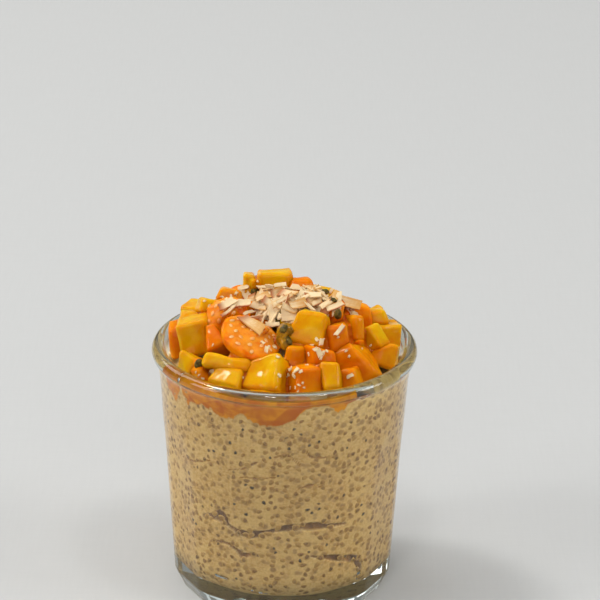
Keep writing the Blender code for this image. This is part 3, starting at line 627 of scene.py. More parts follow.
def glass_rows():
    """(radius, z, panelled) from the middle of the underside, up the outside and down the inside."""
    rows = [(r, HOLLOW_Z, False) for r in (6.0, 13.0, 20.0, 25.0)]
    for k in (0.0, 0.25, 0.5, 0.75, 1.0):
        rows.append((27.0 + 1.5 * k, 0.8 * (1.0 - float(smooth(0.0, 1.0, k))), False))
    rows += [(30.5, 0.0, False), (32.6, 0.0, False), (33.9, 0.0, True)]
    for k in (0.03, 0.2, 0.4, 0.6, 0.8, 0.96):
        rows.append((FOOT_RADIUS + (HEEL_RADIUS - FOOT_RADIUS) * k, HEEL_Z * k, True))
    for z in (6.1, 6.6, 8.0, 10.4, 12.5, 15.0, 20.0, 26.0, 32.0, 38.0, 43.0, 47.0):
        rows.append((wall_out(z), z, True))
    for k in range(22):
        z = PANEL_SHOULDER_Z + 0.7 * k
        rows.append((wall_out(z), z, True))
    for z in (65.5, 67.5, 70.0, 72.5, 74.5, 76.0, 77.5, 79.0, 80.3):
        flare = 0.55 * float(smooth(72.0, 82.0, z)) ** 1.5
        rows.append((wall_out(z) + flare, z, False))
    for a in range(-50, 181, 7):
        out = RIM_RADIUS - BEAD_RADIUS + BEAD_RADIUS * math.cos(math.radians(a))
        rows.append((out, BEAD_Z + BEAD_RADIUS * math.sin(math.radians(a)), False))
    for z in (82.5, 80.0, 75.0, 66.0, 56.0, 46.0, 36.0, 26.0, 20.0, 16.6):
        rows.append((wall_in(z), z, False))
    for a in range(6, 91, 7):
        z = FILLET_TOP - FLOOR_FILLET * math.sin(math.radians(a))
        rows.append((fillet_radius(z), z, False))
    for share in (0.85, 0.6, 0.35, 0.15):
        z = BASE_THICKNESS - FLOOR_DIP * (1.0 - share)
        rows.append((fillet_radius(BASE_THICKNESS) * share, z, False))
    return rows


def make_glass():
    """The tumbler. Each panel is a flat that narrows to nothing towards its top."""
    turns = np.arange(GLASS_COUNT) * 360.0 / GLASS_COUNT
    pitch = 360.0 / PANELS
    off = (turns + pitch / 2.0) % pitch - pitch / 2.0
    rings = []
    for radius, z, panelled in glass_rows():
        r = np.full(len(turns), radius)
        if panelled and z < PANEL_TOP_Z:
            share = max(0.0, (z - PANEL_SHOULDER_Z) / (PANEL_TOP_Z - PANEL_SHOULDER_Z))
            half = PANEL_HALF_ANGLE * math.sqrt(1.0 - share * share)
            flat = radius * math.cos(math.radians(half)) / np.cos(np.radians(off))
            gap = np.clip(0.5 - (r - flat) / (2.0 * ARRIS), 0.0, 1.0)
            r = flat * (1.0 - gap) + r * gap - ARRIS * gap * (1.0 - gap)
        if 12.0 < z < 78.0:
            r = r + 0.03 * np.sin(np.radians(turns * 5.0 + z * 4.0))
        rings.append(ring(turns, r, z))
    verts, faces = closed_rings(rings, (0.0, 0.0, HOLLOW_Z), (0.0, 0.0, BASE_THICKNESS - FLOOR_DIP))
    return finish_piece(add_piece("glass_tumbler", verts, faces, glass_material()), ["glass"])


# ---------------- pudding

# Lowest reach of the juice on the wall, from left to right, as pixels of the camera's view
JUICE = (
    (187, 391), (190, 397), (192, 405), (194.5, 400), (200, 403.5), (205, 403), (210, 407), (214, 408),
    (218, 412), (222, 416), (228, 417.5), (236, 417), (241, 412.5), (246, 414.5), (251, 420), (257, 423),
    (266, 425.5), (276, 426), (284, 424), (290, 420.5), (295, 419), (300, 413), (305, 408), (311, 404.5),
    (318, 401.5), (324, 401), (329, 405), (333, 410), (338, 411), (343, 407), (347, 400), (353, 396),
)
DRIP = (
    (174, 386), (176.5, 390), (179, 395), (181, 401.5), (182.8, 396), (185, 388),
)

# Cracks at the wall: depth, then (turn, height, half width) along each
CRACKS = (
    (1.6, ((-38.5, 35.6, 0.5), (-35.8, 36.3, 1.3), (-33.2, 36.8, 1.7), (-31, 35.8, 1.2), (-29.6, 34.6, 0.5))),
    (0.9, ((-43.5, 35.3, 0.15), (-40.5, 36.1, 0.4), (-38, 35.8, 0.6))),
    (0.7, ((-33.5, 38.3, 0.5), (-34.6, 39.8, 0.3), (-38, 41.6, 0.12))),
    (1.4, ((-31, 35.4, 0.5), (-27.5, 33.8, 0.45), (-23, 32.6, 0.7), (-18, 32.2, 1), (-12, 33, 0.9),
           (-8, 33.8, 0.5), (-4, 34.7, 0.45), (0, 35.3, 0.8), (5, 35.6, 1.05), (9, 35.8, 0.6),
           (13, 35.9, 1.1), (18, 35.8, 1), (22, 35.1, 0.5), (28, 34.8, 0.4), (34, 34.5, 0.15))),
    (0.9, ((-41, 26, 0.15), (-35, 26.9, 0.35), (-29.4, 27.2, 0.35), (-24, 25.6, 0.4), (-20.6, 24, 1),
           (-17.5, 24.6, 0.5), (-9.3, 24.8, 0.15))),
    (1.3, ((15.1, 24.5, 0.15), (22.1, 23.3, 0.5), (28, 22.3, 0.9), (33.5, 21.1, 0.7), (38, 20.6, 1),
           (43, 19.3, 0.9), (45.1, 16, 0.7), (45.5, 11, 0.2))),
    (0.4, ((-4.1, 62.3, 0.1), (2.3, 62.9, 0.28), (8.3, 59.3, 0.1))),
    (0.5, ((11.1, 63.9, 0.12), (13.5, 61.8, 0.35), (16.3, 61.5, 0.25), (26.5, 60.6, 0.1))),
    (0.5, ((-27.7, 55.2, 0.1), (-20, 56.6, 0.22), (-14.5, 58.9, 0.35), (-12.6, 59.9, 0.12))),
    (0.4, ((-20.6, 53.6, 0.1), (-12, 54.1, 0.25), (-4.1, 54.5, 0.1))),
    (0.4, ((-58.1, 53.3, 0.1), (-48, 54.2, 0.25), (-38.6, 56.9, 0.1))),
    (0.5, ((-44.1, 12.9, 0.15), (-35, 13.4, 0.4), (-25.9, 14.1, 0.15))),
    (0.5, ((-20.5, 11, 0.15), (-13, 9.8, 0.4), (-6.6, 8.9, 0.15))),
    (0.4, ((8, 50.5, 0.1), (14, 51.6, 0.3), (20, 50.2, 0.1))),
    (0.8, ((78, 44, 0.2), (92, 45.5, 0.6), (104, 43, 0.8), (118, 44.6, 0.2))),
    (0.7, ((150, 29, 0.2), (166, 30.6, 0.7), (180, 28.8, 0.5), (194, 30, 0.2))),
    (0.6, ((228, 52, 0.2), (244, 50.4, 0.5), (258, 52.6, 0.2))),
    (0.6, ((205, 18, 0.2), (221, 19.4, 0.6), (236, 17.8, 0.2))),
)


def crack_field(turn, z):
    """How deep in mm the cracks make the side at each point, and from 0 to 1 how strongly painted shade
    darkens it there.
    """
    deep = np.zeros(len(turn))
    crack_shade = np.zeros(len(turn))
    across = np.radians(1.0) * wall_in(z)
    for depth, path in CRACKS:
        for (t0, z0, w0), (t1, z1, w1) in zip(path, path[1:]):
            half = 0.5 * (t1 - t0)
            u = ((turn - t0 - half + 180.0) % 360.0 - 180.0 + half) * across
            v = z - z0
            run_u, run_v = 2.0 * half * across, z1 - z0
            share = np.clip((u * run_u + v * run_v) / (run_u ** 2 + run_v ** 2), 0.0, 1.0)
            gap = np.hypot(u - share * run_u, v - share * run_v)
            width = 1.25 * (w0 + (w1 - w0) * share)
            inside = 1.0 - smooth(0.55, 1.15, gap / width)
            deep = np.maximum(deep, inside * 1.35 * depth * np.minimum(1.0, width / 0.6))
            # painted shade: how strongly each crack is darkened
            crack_shade = np.maximum(crack_shade, 1.0 - smooth(0.7, 1.35, gap / np.maximum(width, 0.22)))
    return deep, crack_shade


def pudding_edge(tree, turns):
    """Height of the pudding's edge at each turn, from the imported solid, raised where it meets the juice."""
    edge = []
    for turn in turns:
        inside = around(turn, EDGE_RADIUS, 0.0)
        edge.append(below(tree, inside.x, inside.y)[0].z)
    edge = np.array(edge)
    for _ in range(6):
        edge = 0.5 * edge + 0.25 * (np.roll(edge, 1) + np.roll(edge, -1))
    path_turns, path_z = path_on_wall(JUICE)
    start, end = path_turns[0], path_turns[-1]
    side = (turns + 180.0) % 360.0 - 180.0
    juice = np.minimum(np.interp(side, path_turns, path_z) + 0.8, PUDDING_TOP)
    share = smooth(start - 6.0, start, side) * (1.0 - smooth(end, end + 6.0, side))
    return edge + np.maximum(0.0, juice - edge) * share


def cracked_ring(turns, r, z):
    """A ring of points at the wall, pushed in where there are cracks, and how much painted crack shade falls
    there.
    """
    points = ring(turns, r, z)
    deep, crack_shade = crack_field(turns, z)
    ragged = 1.0 + 0.35 * ripple(points, 2.2, 5)
    points[:, :2] *= (1.0 - (deep * ragged) / r)[:, None]
    return points, crack_shade * np.clip(ragged, 0.6, 1.0)


def pudding_side(turns, edge):
    """Rings of points from the middle of the floor to the edge, just inside the glass, and the painted shade
    of the cracks.
    """
    whole = np.zeros(len(turns))
    rings = [(ring(turns, fillet_radius(BASE_THICKNESS) * share, BASE_THICKNESS - INTO_WALL), whole)
             for share in (0.25, 0.5, 0.8)]
    for a in range(90, 0, -6):
        tilt = math.radians(a)
        z = FILLET_TOP - FLOOR_FILLET * math.sin(tilt)
        r = fillet_radius(z) + INTO_WALL * math.cos(tilt)
        z -= INTO_WALL * math.sin(tilt)
        rings.append(cracked_ring(turns, r, z) if a < 60 else (ring(turns, r, z), whole))
    for k in range(PUDDING_ROWS + 1):
        z = FILLET_TOP + (edge - 0.35 - FILLET_TOP) * k / PUDDING_ROWS
        rings.append(cracked_ring(turns, wall_in(z) + INTO_WALL, z))
    return [points for points, _ in rings], np.concatenate([crack_shade for _, crack_shade in rings])


def pudding_top(tree, turns, edge):
    """Rings of points from the edge to the middle, and how wet each point is with juice."""
    rings = [ring(turns, wall_in(edge) - inset, edge + rise)
             for inset, rise in ((0.15, 0.4), (0.5, 0.18), (EDGE_INSET, 0.1))]
    juice = [np.zeros(len(turns))] * len(rings)
    steps = 40
    for k in range(1, steps):
        r = (wall_in(edge) - EDGE_INSET) * (1.0 - k / steps)
        points = ring(turns, r, edge)
        for i, (x, y, _) in enumerate(points.tolist()):
            hit = below(tree, x, y)[0]
            points[i, 2] = hit.z if hit is not None else edge[i]
        blend = smooth(0.0, 3.0, wall_in(edge) - r)
        points[:, 2] = edge * (1.0 - blend) + points[:, 2] * blend
        points[:, 2] += 0.25 * ripple(points, 2.6, 8) + 0.35 * ripple(points, 7.0, 9)
        rings.append(points)
        juice.append(smooth(-6.0, 0.0, 3.0 * ripple(points, 9.0, 4) - r))
    return rings, np.concatenate(juice)


def make_pudding():
    turns = np.arange(PUDDING_COUNT) * 360.0 / PUDDING_COUNT
    tree = tree_of([frame["nodes"]["pudding"]])
    edge = pudding_edge(tree, turns)
    side, crack_shade_mask = pudding_side(turns, edge)
    top, juice = pudding_top(tree, turns, edge)
    low = (0.0, 0.0, BASE_THICKNESS - INTO_WALL)
    verts, faces = closed_rings(side + top, low, (0.0, 0.0, top[-1][:, 2].mean()))
    values = {"crack_shade_mask": np.concatenate((crack_shade_mask, np.zeros(len(juice) + 2))),
              "juice": np.concatenate((np.zeros(len(crack_shade_mask)), juice, (0.0, 1.0)))}
    item = add_piece("chia_pudding", verts, faces, pudding_side_material(), values)
    item.data.materials.append(pudding_top_material())
    slots = [0] * (len(side) * len(turns)) + [1] * ((len(top) - 1) * len(turns)) + [0, 1] * len(turns)
    item.data.polygons.foreach_set("material_index", slots)
    return finish_piece(item, ["pudding"]), edge


# The part of a half-buried small seed that can show
BURIED_SEED = cap(9, (72.0, 58.0, 46.0, 33.0, 17.0), 0.1)

# Crisp dark seeds at the glass, at the places where the photograph shows them
DARK_SEEDS = (
    (231.7, 441), (244, 428), (174.7, 420), (308.7, 443.7), (294, 427.5), (236, 502.5), (247.5, 512.5),
    (197.5, 518), (200, 522), (274, 547), (275.5, 551), (238, 577), (358.7, 503), (360, 512), (300, 559),
    (307, 508), (311, 511), (318, 507), (247, 483), (253, 486), (325, 543), (308, 550), (270.5, 456),
    (345, 446), (216, 449), (237, 451), (318, 440), (374, 520), (366, 531), (289, 447), (264, 501),
)


def make_film(path):
    """Points, faces and thinness of one stretch of juice on the wall, down to a path in pixels."""
    path_turns, path_z = path_on_wall(path)
    turns = np.linspace(path_turns[0], path_turns[-1], int((path_turns[-1] - path_turns[0]) / 0.34) + 2)
    drawn = np.interp(turns, path_turns, path_z)
    for _ in range(3):
        drawn[1:-1] = 0.5 * drawn[1:-1] + 0.25 * (drawn[:-2] + drawn[2:])
    drawn = drawn + 0.16 * np.sin(turns * 1.9) + 0.12 * np.sin(turns * 4.3 + 1.0)
    low = np.minimum(drawn, JUICE_TOP - 1.5)
    steps = 26
    points, thin = [], []
    for k in range(steps + 1):
        z = low + (JUICE_TOP - low) * (k / steps) ** 1.3
        points.append(ring(turns, wall_in(z) + JUICE_INTO_WALL, z))
        thin.append(1.0 - smooth(0.0, 0.9, z - low + 0.25 * ripple(points[-1], 2.4, 14)))
    back = [p * np.array((0.992, 0.992, 1.0)) for p in points]
    values = {"thin": np.concatenate(thin * 2)}
    return np.concatenate(back + points), slab_faces(steps + 1, len(turns)), values


def seed_places(rng, edge):
    """(turn, z, darkness) of the seeds at the glass: the ones that the photograph shows, then others."""
    spots = [(*on_wall(x, y), 1.0) for x, y in DARK_SEEDS]
    for _ in range(40000):
        if len(spots) == SEED_COUNT:
            break
        turn, z = rng.uniform(-180.0, 180.0), rng.uniform(9.5, 83.0)
        if z > edge[int(turn % 360.0 * len(edge) / 360.0) % len(edge)] - 1.2:
            continue
        if all(abs(z - zz) > 1.55 or abs((turn - tt + 180.0) % 360.0 - 180.0) > 2.3 for tt, zz, _ in spots):
            spots.append((turn, z, 0.8 if rng.random() < 0.07 else rng.uniform(0.0, 0.42)))
    return spots


def make_seeds(edge):
    rng = random.Random(21)
    verts, faces = BURIED_SEED
    parts = []
    for turn, z, black in seed_places(rng, edge):
        size = np.array((rng.uniform(1.15, 1.6), rng.uniform(0.9, 1.2), 0.6)) * (0.74 if black > 0.7 else 1.0)
        sunk = rng.uniform(0.56, 0.78) * size[2]
        strength = 1.0 if black == 1.0 else rng.uniform(0.25, 1.0)
        spin = rng.uniform(0.0, math.pi)
        local = verts * size
        lobes = np.sin(3.0 * np.arctan2(verts[:, 1], verts[:, 0]) + spin * 5.0)
        local[:, :2] *= (1.0 + 0.12 * lobes)[:, None]
        u = local[:, 0] * math.cos(spin) - local[:, 1] * math.sin(spin)
        v = local[:, 0] * math.sin(spin) + local[:, 1] * math.cos(spin)
        w = local[:, 2] - sunk
        down = min(0.97, max(0.0, (FILLET_TOP - z) / FLOOR_FILLET))
        level = math.sqrt(1.0 - down * down)
        outward = around(turn, level, -down)
        upward = around(turn, down, level)
        radius = fillet_radius(z) if down > 0.0 else wall_in(z)
        base = around(turn, radius, z) + outward * INTO_WALL
        points = np.outer(u, upward.cross(outward)) + np.outer(v, upward) + np.outer(w, outward) + base
        ink = strength * smooth(0.0, 0.75, w / (size[2] - sunk))
        parts.append((points, faces, {"dark": np.full(len(verts), black), "ink": ink}))
    return finish_piece(joined("chia_seeds", parts, seed_material(), ("dark", "ink")))


def make_juice():
    """Juice that has run down between the fruit and the wall: one wide stretch and a drip."""
    parts = [make_film(DRIP), make_film(JUICE)]
    return finish_piece(joined("fruit_juice", parts, juice_material(), ("thin",)))


# ---------------- fruit

SLOTS = {p["node"]: p["material_slot"] for p in frame["record"]["subparts"]}

# Halved physalis: centre of the cut face, radius, the way that the cut face looks, and 1 where it shows
HALVES = {
    "physalis_01": ((-10.8, -17.0, 94.8), 10.2, (0.36, -0.26, 0.90), 1),
    "physalis_02": ((-19.6, -5.5, 95.6), 8.5, (-0.30, -0.62, 0.72), 1),
    "physalis_03": ((-11.5, -5.5, 98.2), 9.0, (0.10, -0.38, 0.92), 1),
    "physalis_04": ((23.6, 3.2, 90.2), 9.6, (-0.40, -0.05, -0.91), 0),
    "physalis_05": ((-15.0, 24.0, 87.5), 9.0, (0.25, -0.30, -0.92), 0),
    "physalis_06": ((16.0, 21.0, 90.0), 9.4, (0.10, 0.55, 0.83), 1),
}


def press_to_wall(points):
    """Where fruit lies against the wall it stays just behind what shows through the glass."""
    r = np.hypot(points[:, 0], points[:, 1])
    limit = wall_in(points[:, 2]) - BEHIND_WALL - 0.9 * smooth(79.5, 82.5, points[:, 2])
    points[:, :2] *= np.minimum(1.0, limit / r)[:, None]
    return points


def close_fruit(node):
    """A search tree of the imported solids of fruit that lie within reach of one."""
    boxes = {}
    for name, item in frame["nodes"].items():
        if name not in ("glass", "pudding", "coconut"):
            points = get_points(item.data)
            boxes[name] = points.min(0) - TOUCH_REACH, points.max(0)
    low, high = boxes[node]
    return tree_of([frame["nodes"][name] for name, (start, end) in boxes.items()
                    if name != node and (start < high).all() and (end > low).all()])


def make_flesh(node, material, seed, voxel=FLESH_VOXEL, rounds=0, swell=SWELL):
    """A piece of fruit with soft edges. Where it touches others it swells to meet them, and near them it is
    marked for painted contact shade.
    """
    mesh = remeshed(node, voxel)
    relax(mesh, rounds)
    points = get_points(mesh)
    tree = close_fruit(node)
    hits = (tree.find_nearest(point, TOUCH_REACH)[3] for point in points.tolist())
    away = np.array([TOUCH_REACH if hit is None else hit for hit in hits])
    lift = swell + 0.36 * (1.0 - smooth(0.4, 1.8, away))
    lift += 0.28 * ripple(points, 14.0, seed) + 0.09 * ripple(points, 5.0, seed + 1)
    set_points(mesh, press_to_wall(points + normals_of(mesh) * lift[:, None]))
    relax(mesh, 1, 0.3)
    mesh.materials.append(material)
    mesh.shade_smooth()
    # near drives the painted contact shade in the flesh colour
    set_values(mesh, "near", 1.0 - smooth(0.3, 3.4, away))
    return add_item(node + "_flesh", mesh)


def make_fruit():
    materials = {slot: mango_material(slot) for slot in FLESH}
    physalis = physalis_material()
    pulp = pulp_material()
    items = []
    rng = random.Random(17)
    for index, node in enumerate(sorted(frame["nodes"])):
        slot = SLOTS[node]
        seed = index * 7
        if slot in materials:
            item = make_flesh(node, materials[slot], seed)
            set_values(item.data, "tone", np.full(len(item.data.vertices), rng.uniform(-0.28, 0.22)))
        elif slot == "physalis":
            item = make_flesh(node, physalis, seed, PHYSALIS_VOXEL, 4, 0.28)
            shape_half(item, node)
        elif slot == "passionfruit_pulp":
            item = make_flesh(node, pulp, seed, FLESH_VOXEL, 4, 0.30)
        else:
            continue
        items.append(finish_piece(item, [node]))
    return items


def make_syrup(fruit):
    """Juice deep in the creases: the pieces are swelled until they meet, joined, and drawn in again."""
    verts, faces, total = [], [], 0
    for item in fruit:
        mesh = item.data
        points = get_points(mesh) + normals_of(mesh) * SYRUP_SWELL
        loops = np.empty(len(mesh.loops), int)
        mesh.loops.foreach_get("vertex_index", loops)
        faces.append(loops.reshape(-1, 4) + total)
        total += len(points)
        verts.append(points)
    swelled = bpy.data.meshes.new("swelled")
    swelled.from_pydata((np.concatenate(verts) * MM).tolist(), [], np.concatenate(faces).tolist())
    mesh = even_mesh(bpy.data.objects.new("swelled", swelled), SYRUP_VOXEL)
    relax(mesh, 2)
    points = get_points(mesh) - normals_of(mesh) * SYRUP_SHRINK
    points[:, 2] = np.maximum(points[:, 2], SYRUP_LOW)
    set_points(mesh, press_to_wall(points))
    relax(mesh, 1)
    mesh.materials.append(syrup_material())
    mesh.shade_smooth()
    return finish_piece(add_item("syrup", mesh))


def shape_half(item, node):
    """Swell the cut face of a halved physalis, and mark it for its material."""
    centre, radius, look, shows = HALVES[node]
    points = get_points(item.data)
    look = np.array(Vector(look).normalized())
    off = points - np.array(centre)
    height = off @ look
    out = np.linalg.norm(off - np.outer(height, look), axis=1)
    on_face = smooth(-1.5, -0.5, height) * shows
    bulge = 1.5 * (1.0 - (out / radius) ** 2) + 0.12 * ripple(points, 4.0, 77)
    points += np.outer(on_face * bulge, look)
    set_points(item.data, points)
    inside = 1.0 - smooth(radius - 1.9, radius - 0.9, out)
    set_values(item.data, "cut", smooth(-1.2, -0.6, height) * inside * shows)


# ---------------- seeds and coconut on the fruit


def make_face_seeds():
    """Small pale seeds in the cut faces of the physalis, half sunk in the flesh."""
    rng = random.Random(9)
    verts, faces = BURIED_SEED
    parts = []
    for node, (centre, radius, look, shows) in HALVES.items():
        if not shows:
            continue
        look = Vector(look).normalized()
        face = basis(look, 0.0)
        tree = tree_of([bpy.data.objects[node + "_flesh"]])
        placed = []
        for _ in range(900):
            a, out = rng.uniform(0.0, 2.0 * math.pi), radius * math.sqrt(rng.uniform(0.0, 0.66))
            spot = Vector(centre) + Vector(face @ (out * math.cos(a), out * math.sin(a), 0.0))
            if any((spot - other).length < 2.5 for other in placed):
                continue
            hit, normal = tree.ray_cast(spot + look * 6.0, -look)[:2]
            if hit is None or normal.dot(look) < 0.6:
                continue
            placed.append(spot)
            size = np.array((rng.uniform(0.95, 1.2), rng.uniform(0.65, 0.8), 0.5))
            local = verts * size - np.array((0.0, 0.0, 0.5 * size[2]))
            ink = rng.uniform(0.2, 0.95) * smooth(0.0, 0.5, local[:, 2] / (0.5 * size[2]))
            turning = basis(normal, rng.uniform(0.0, math.pi))
            parts.append((local @ turning.T + np.array(hit), faces, {"ink": ink}))
    return finish_piece(joined("physalis_seeds", parts, berry_seed_material(), ("ink",)))


# Large dark seeds: pixel, length, the angle at which each lies
LARGE_SEEDS = (
    (198.5, 363.5, 4, 1.3), (255, 291.6, 3.4, 0.1), (325, 292, 3.4, -0.3), (338, 314, 3.9, 1.5),
    (278, 321, 3.2, 0.4), (288.5, 341, 4, 0.6), (284, 329, 3.6, 1.2), (333, 300, 3.2, -0.6),
    (282, 312, 3, 0.2),
)


def make_large_seeds(tree):
    """The dark seeds of the passion fruit: those that the photograph shows and four at the back."""
    rng = random.Random(33)
    verts, faces = cap(14, range(162, 0, -18), -1.0)
    spots = [(*seen(tree, px, py), length, spin) for px, py, length, spin in LARGE_SEEDS]
    for x, y in ((-10.0, 27.0), (8.0, 28.0), (25.0, 20.0), (-2.0, 33.0)):
        spots.append((*below(tree, x, y), rng.uniform(3.2, 4.0), rng.uniform(0.0, 3.0)))
    parts = []
    for hit, normal, length, spin in spots:
        local = verts * np.array((0.46 * length, 0.33 * length, 0.24 * length))
        local[:, 1] *= 1.0 - 0.22 * verts[:, 0]
        local += 0.06 * ripple(local, 1.3, 3)[:, None] * verts
        parts.append((local @ basis(normal, spin).T + np.array(hit + normal * 0.04 * length), faces, {}))
    return finish_piece(joined("large_seeds", parts, dark_seed_material()))


def flake(rng, length, width, thick, curl, skinned=None):
    """An angular shaving of coconut lying along x: a warped slab with rough edges."""
    along, across = max(4, int(length / 0.6)), max(3, int(width / 0.55))
    corners = [(x + rng.uniform(-0.12, 0.12), y + rng.uniform(-0.18, 0.18))
               for x, y in ((-0.5, -0.5), (0.5, -0.5), (-0.5, 0.5), (0.5, 0.5))]
    twist = rng.uniform(-0.5, 0.5)
    cup = rng.uniform(-0.12, 0.2)
    browned = rng.choice((0.0, 0.0, 0.3, 0.7, 1.1))
    if skinned is None:
        skinned = rng.choice((0, 0, 0, 0, 1, 2))
    offset = rng.uniform(0.0, 500.0)
    wave = rng.uniform(0.0, 6.0)
    top, low, toast, skin, strand = [], [], [], [], []
    for i in range(along + 1):
        for j in range(across + 1):
            u, v = i / along, j / across
            shares = ((1 - u) * (1 - v), u * (1 - v), (1 - u) * v, u * v)
            x, y = (sum(corner[k] * share for corner, share in zip(corners, shares)) for k in range(2))
            edge_here = i in (0, along) or j in (0, across)
            x = x * length + rng.uniform(-0.20, 0.20) * (i in (0, along))
            y = y * width + (rng.uniform(-0.09, 0.09) + 0.07 * math.sin(u * 5.0 + wave)) * (j in (0, across))
            bow = curl * length * 0.56 * (u - 0.5) ** 2 + cup * width * 4.0 * (v - 0.5) ** 2
            bow += twist * (u - 0.5) * (v - 0.5) * width + 0.08 * math.sin(u * 7.0 + wave)
            bow += rng.uniform(-0.05, 0.05)
            half = thick * (0.34 if edge_here else 0.5) * rng.uniform(0.85, 1.1)
            top.append((x, y, bow + half))
            low.append((x, y, bow - half))
            toast.append(browned * (0.35 + 0.6 * u) + 0.35 * edge_here + rng.uniform(-0.1, 0.1))
            skin.append((skinned == 1) * max(0.0, 1.0 - 1.6 * u) + (skinned == 2) * max(0.0, 1.0 - 2.4 * v))
            strand.append(offset + v * width)
    values = {"toast": np.array(toast * 2), "skin": np.array(skin * 2), "strand": np.array(strand * 2)}
    return np.array(top + low), slab_faces(along + 1, across + 1), values


# Flakes that show well: pixel, length and width in mm, angle in the picture, and lean towards the
# viewer, or None where it lies flat on the fruit
NAMED_FLAKES = (
    (252.5, 327, 8.6, 3.4, -36, None), (227, 304, 6, 3, 32, 0.6), (228, 312, 6.4, 0.9, 38, 0.6),
    (240, 304, 7, 2.4, 5, 0.6), (259.5, 307, 5.6, 2.6, -12, 0.8), (275.5, 294.5, 4.2, 3.4, 10, 0.7),
    (246, 295, 5, 2.2, -50, 0.6), (263, 297, 5, 2.6, 25, 0.6), (266.5, 317, 5.2, 3, 0, 0.8),
    (272, 325, 5.4, 1.6, 0, 0.6), (276, 311, 5, 4, -10, 0.85), (288, 315, 5, 3.8, 8, 0.85),
    (289, 293.5, 7.2, 2.4, -5, 0.5), (281.5, 302.5, 6, 2, 15, 0.6), (299, 304.5, 6, 2.6, 12, 0.6),
    (306.5, 307.5, 4.6, 2.6, 45, 0.85), (311, 294, 8.4, 2.4, -5, 0.5), (317, 303, 3.8, 1.8, 30, 0.6),
    (328, 303, 5.6, 1.8, 35, 0.6), (345, 303.5, 10.5, 3.2, -12, 0.55), (335, 307, 6, 2, 24, 0.6),
    (315, 285.5, 2.8, 1.3, 75, 0.85), (330.5, 291.5, 2.2, 0.9, 60, 0.8), (280, 284.5, 3.6, 1.3, 5, 0.6),
    (264, 287.5, 4.4, 1, -4, 0.6), (339.5, 330.5, 4.4, 1.4, 50, 0.85), (297, 288, 5, 1.8, -12, 0.5),
    (303, 298, 5, 1.6, 20, 0.7), (290, 309, 5, 2.2, -20, 0.7), (248, 313, 4, 1.4, 20, 0.6),
    (285, 299, 5.5, 1.8, 28, 0.6), (270, 303, 5, 2.4, -30, 0.7), (244, 288, 4, 1.2, 12, 0.6),
)


# Crumbs of coconut on the fruit: pixel and size in mm
CRUMBS = (
    (317, 339.5, 1.5), (321.5, 342, 2.2), (326, 345.5, 1.9), (315.5, 349, 1.9), (319, 352.5, 2.3),
    (323.5, 352, 1.3), (312, 345, 1.3), (309, 354.5, 1.1), (321, 357.5, 1.2), (327, 351, 0.9),
    (291, 369, 1.5), (296, 370.5, 2), (294.5, 375.5, 1.8), (289, 374.5, 0.9), (300.5, 371.5, 1.2),
    (287, 382, 0.7), (290.5, 388, 0.8), (295.5, 387.5, 0.8), (299, 385, 1.1), (302.5, 383, 0.7),
    (304, 387.5, 0.7), (298, 391, 0.7), (279, 375.5, 1.3), (287.5, 377, 0.7), (265.5, 349.5, 2.4),
    (262.5, 343, 1.2), (269, 346.5, 1), (280, 353.5, 2), (284, 356.5, 1.8), (277.5, 357, 1.2),
    (274.5, 347.5, 1.3), (350, 375.5, 1.9), (346.5, 351, 1), (349.5, 356.5, 0.9), (199, 375, 0.9),
    (203, 378.5, 0.9), (196, 372, 0.7), (222, 297, 1.3), (226.5, 299.5, 1), (231, 296, 1.2),
    (209, 306.5, 1.1), (204, 301, 1), (236, 293.5, 1.4), (258, 281, 0.9), (338, 337, 0.8),
    (371, 345.5, 0.9), (362, 349, 0.8), (307, 365, 0.8), (243, 378, 0.7), (213, 345, 0.8),
)


class Heights:
    """Heights of the heap over a fine grid, raised by each thing that is laid on it."""

    def __init__(self, tree, half=40.0, step=0.4):
        self.step, self.half = step, half
        n = int(2 * half / step) + 1
        self.z = np.full((n, n), 60.0)
        for i in range(n):
            for j in range(n):
                hit = below(tree, i * step - half, j * step - half)[0]
                if hit is not None:
                    self.z[i, j] = hit.z

    def index(self, points):
        cells = np.round((points[:, :2] + self.half) / self.step).astype(int)
        return np.clip(cells, 0, len(self.z) - 1)

    def at(self, points):
        cells = self.index(points)
        return self.z[cells[:, 0], cells[:, 1]]

    def raise_by(self, points):
        cells = self.index(points)
        np.maximum.at(self.z, (cells[:, 0], cells[:, 1]), points[:, 2])


def lay(heights, part, x, y, spin, roll, press):
    """Lay a flake on the heap: tilt it as the heap slopes under it and drop it until it touches."""
    verts, faces, values = part
    turned = Matrix.Rotation(spin, 3, "Z") @ Matrix.Rotation(roll, 3, "X")
    flat = verts @ np.array(turned).T + (x, y, 0.0)
    under = heights.at(flat)
    ground = np.column_stack((flat[:, 0] - x, flat[:, 1] - y, np.ones(len(flat))))
    slope = np.linalg.lstsq(ground, under, rcond=None)[0]
    slope[:2] = np.clip(slope[:2], -0.9, 0.9)
    flat[:, 2] += ground @ slope
    flat[:, 2] += np.quantile(under - flat[:, 2], 1.0 - press * 0.5) + 0.05
    heights.raise_by(flat)
    return flat, faces, values


def in_pile(x, y):
    """Under 1 inside the outline of the coconut pile, and 0 in its middle."""
    u, v = (x - 4.5) / 17.5, (y + 1.0) / 7.75
    return math.hypot(u, v) / (1.0 + 0.10 * math.sin(3.0 * math.atan2(v, u) + 0.7))


def pile_flakes(rng, tree):
    """The pile of shavings, each laid on those before it."""
    heights = Heights(tree)
    parts = []
    while len(parts) < PILE_FLAKES:
        x, y = rng.uniform(-16.0, 24.0), rng.uniform(-10.0, 9.0)
        if in_pile(x, y) > 1.0 or rng.random() < in_pile(x, y) ** 2 * 0.6:
            continue
        length, width, thick = rng.uniform(3.2, 7.4), rng.uniform(1.6, 3.3), rng.uniform(0.5, 0.85)
        part = flake(rng, length, width, thick, rng.uniform(-0.5, 0.8))
        spin, roll = rng.uniform(0.0, math.pi), rng.gauss(0.0, 0.5)
        parts.append(lay(heights, part, x, y, spin, roll, rng.uniform(0.3, 0.9)))
    return parts


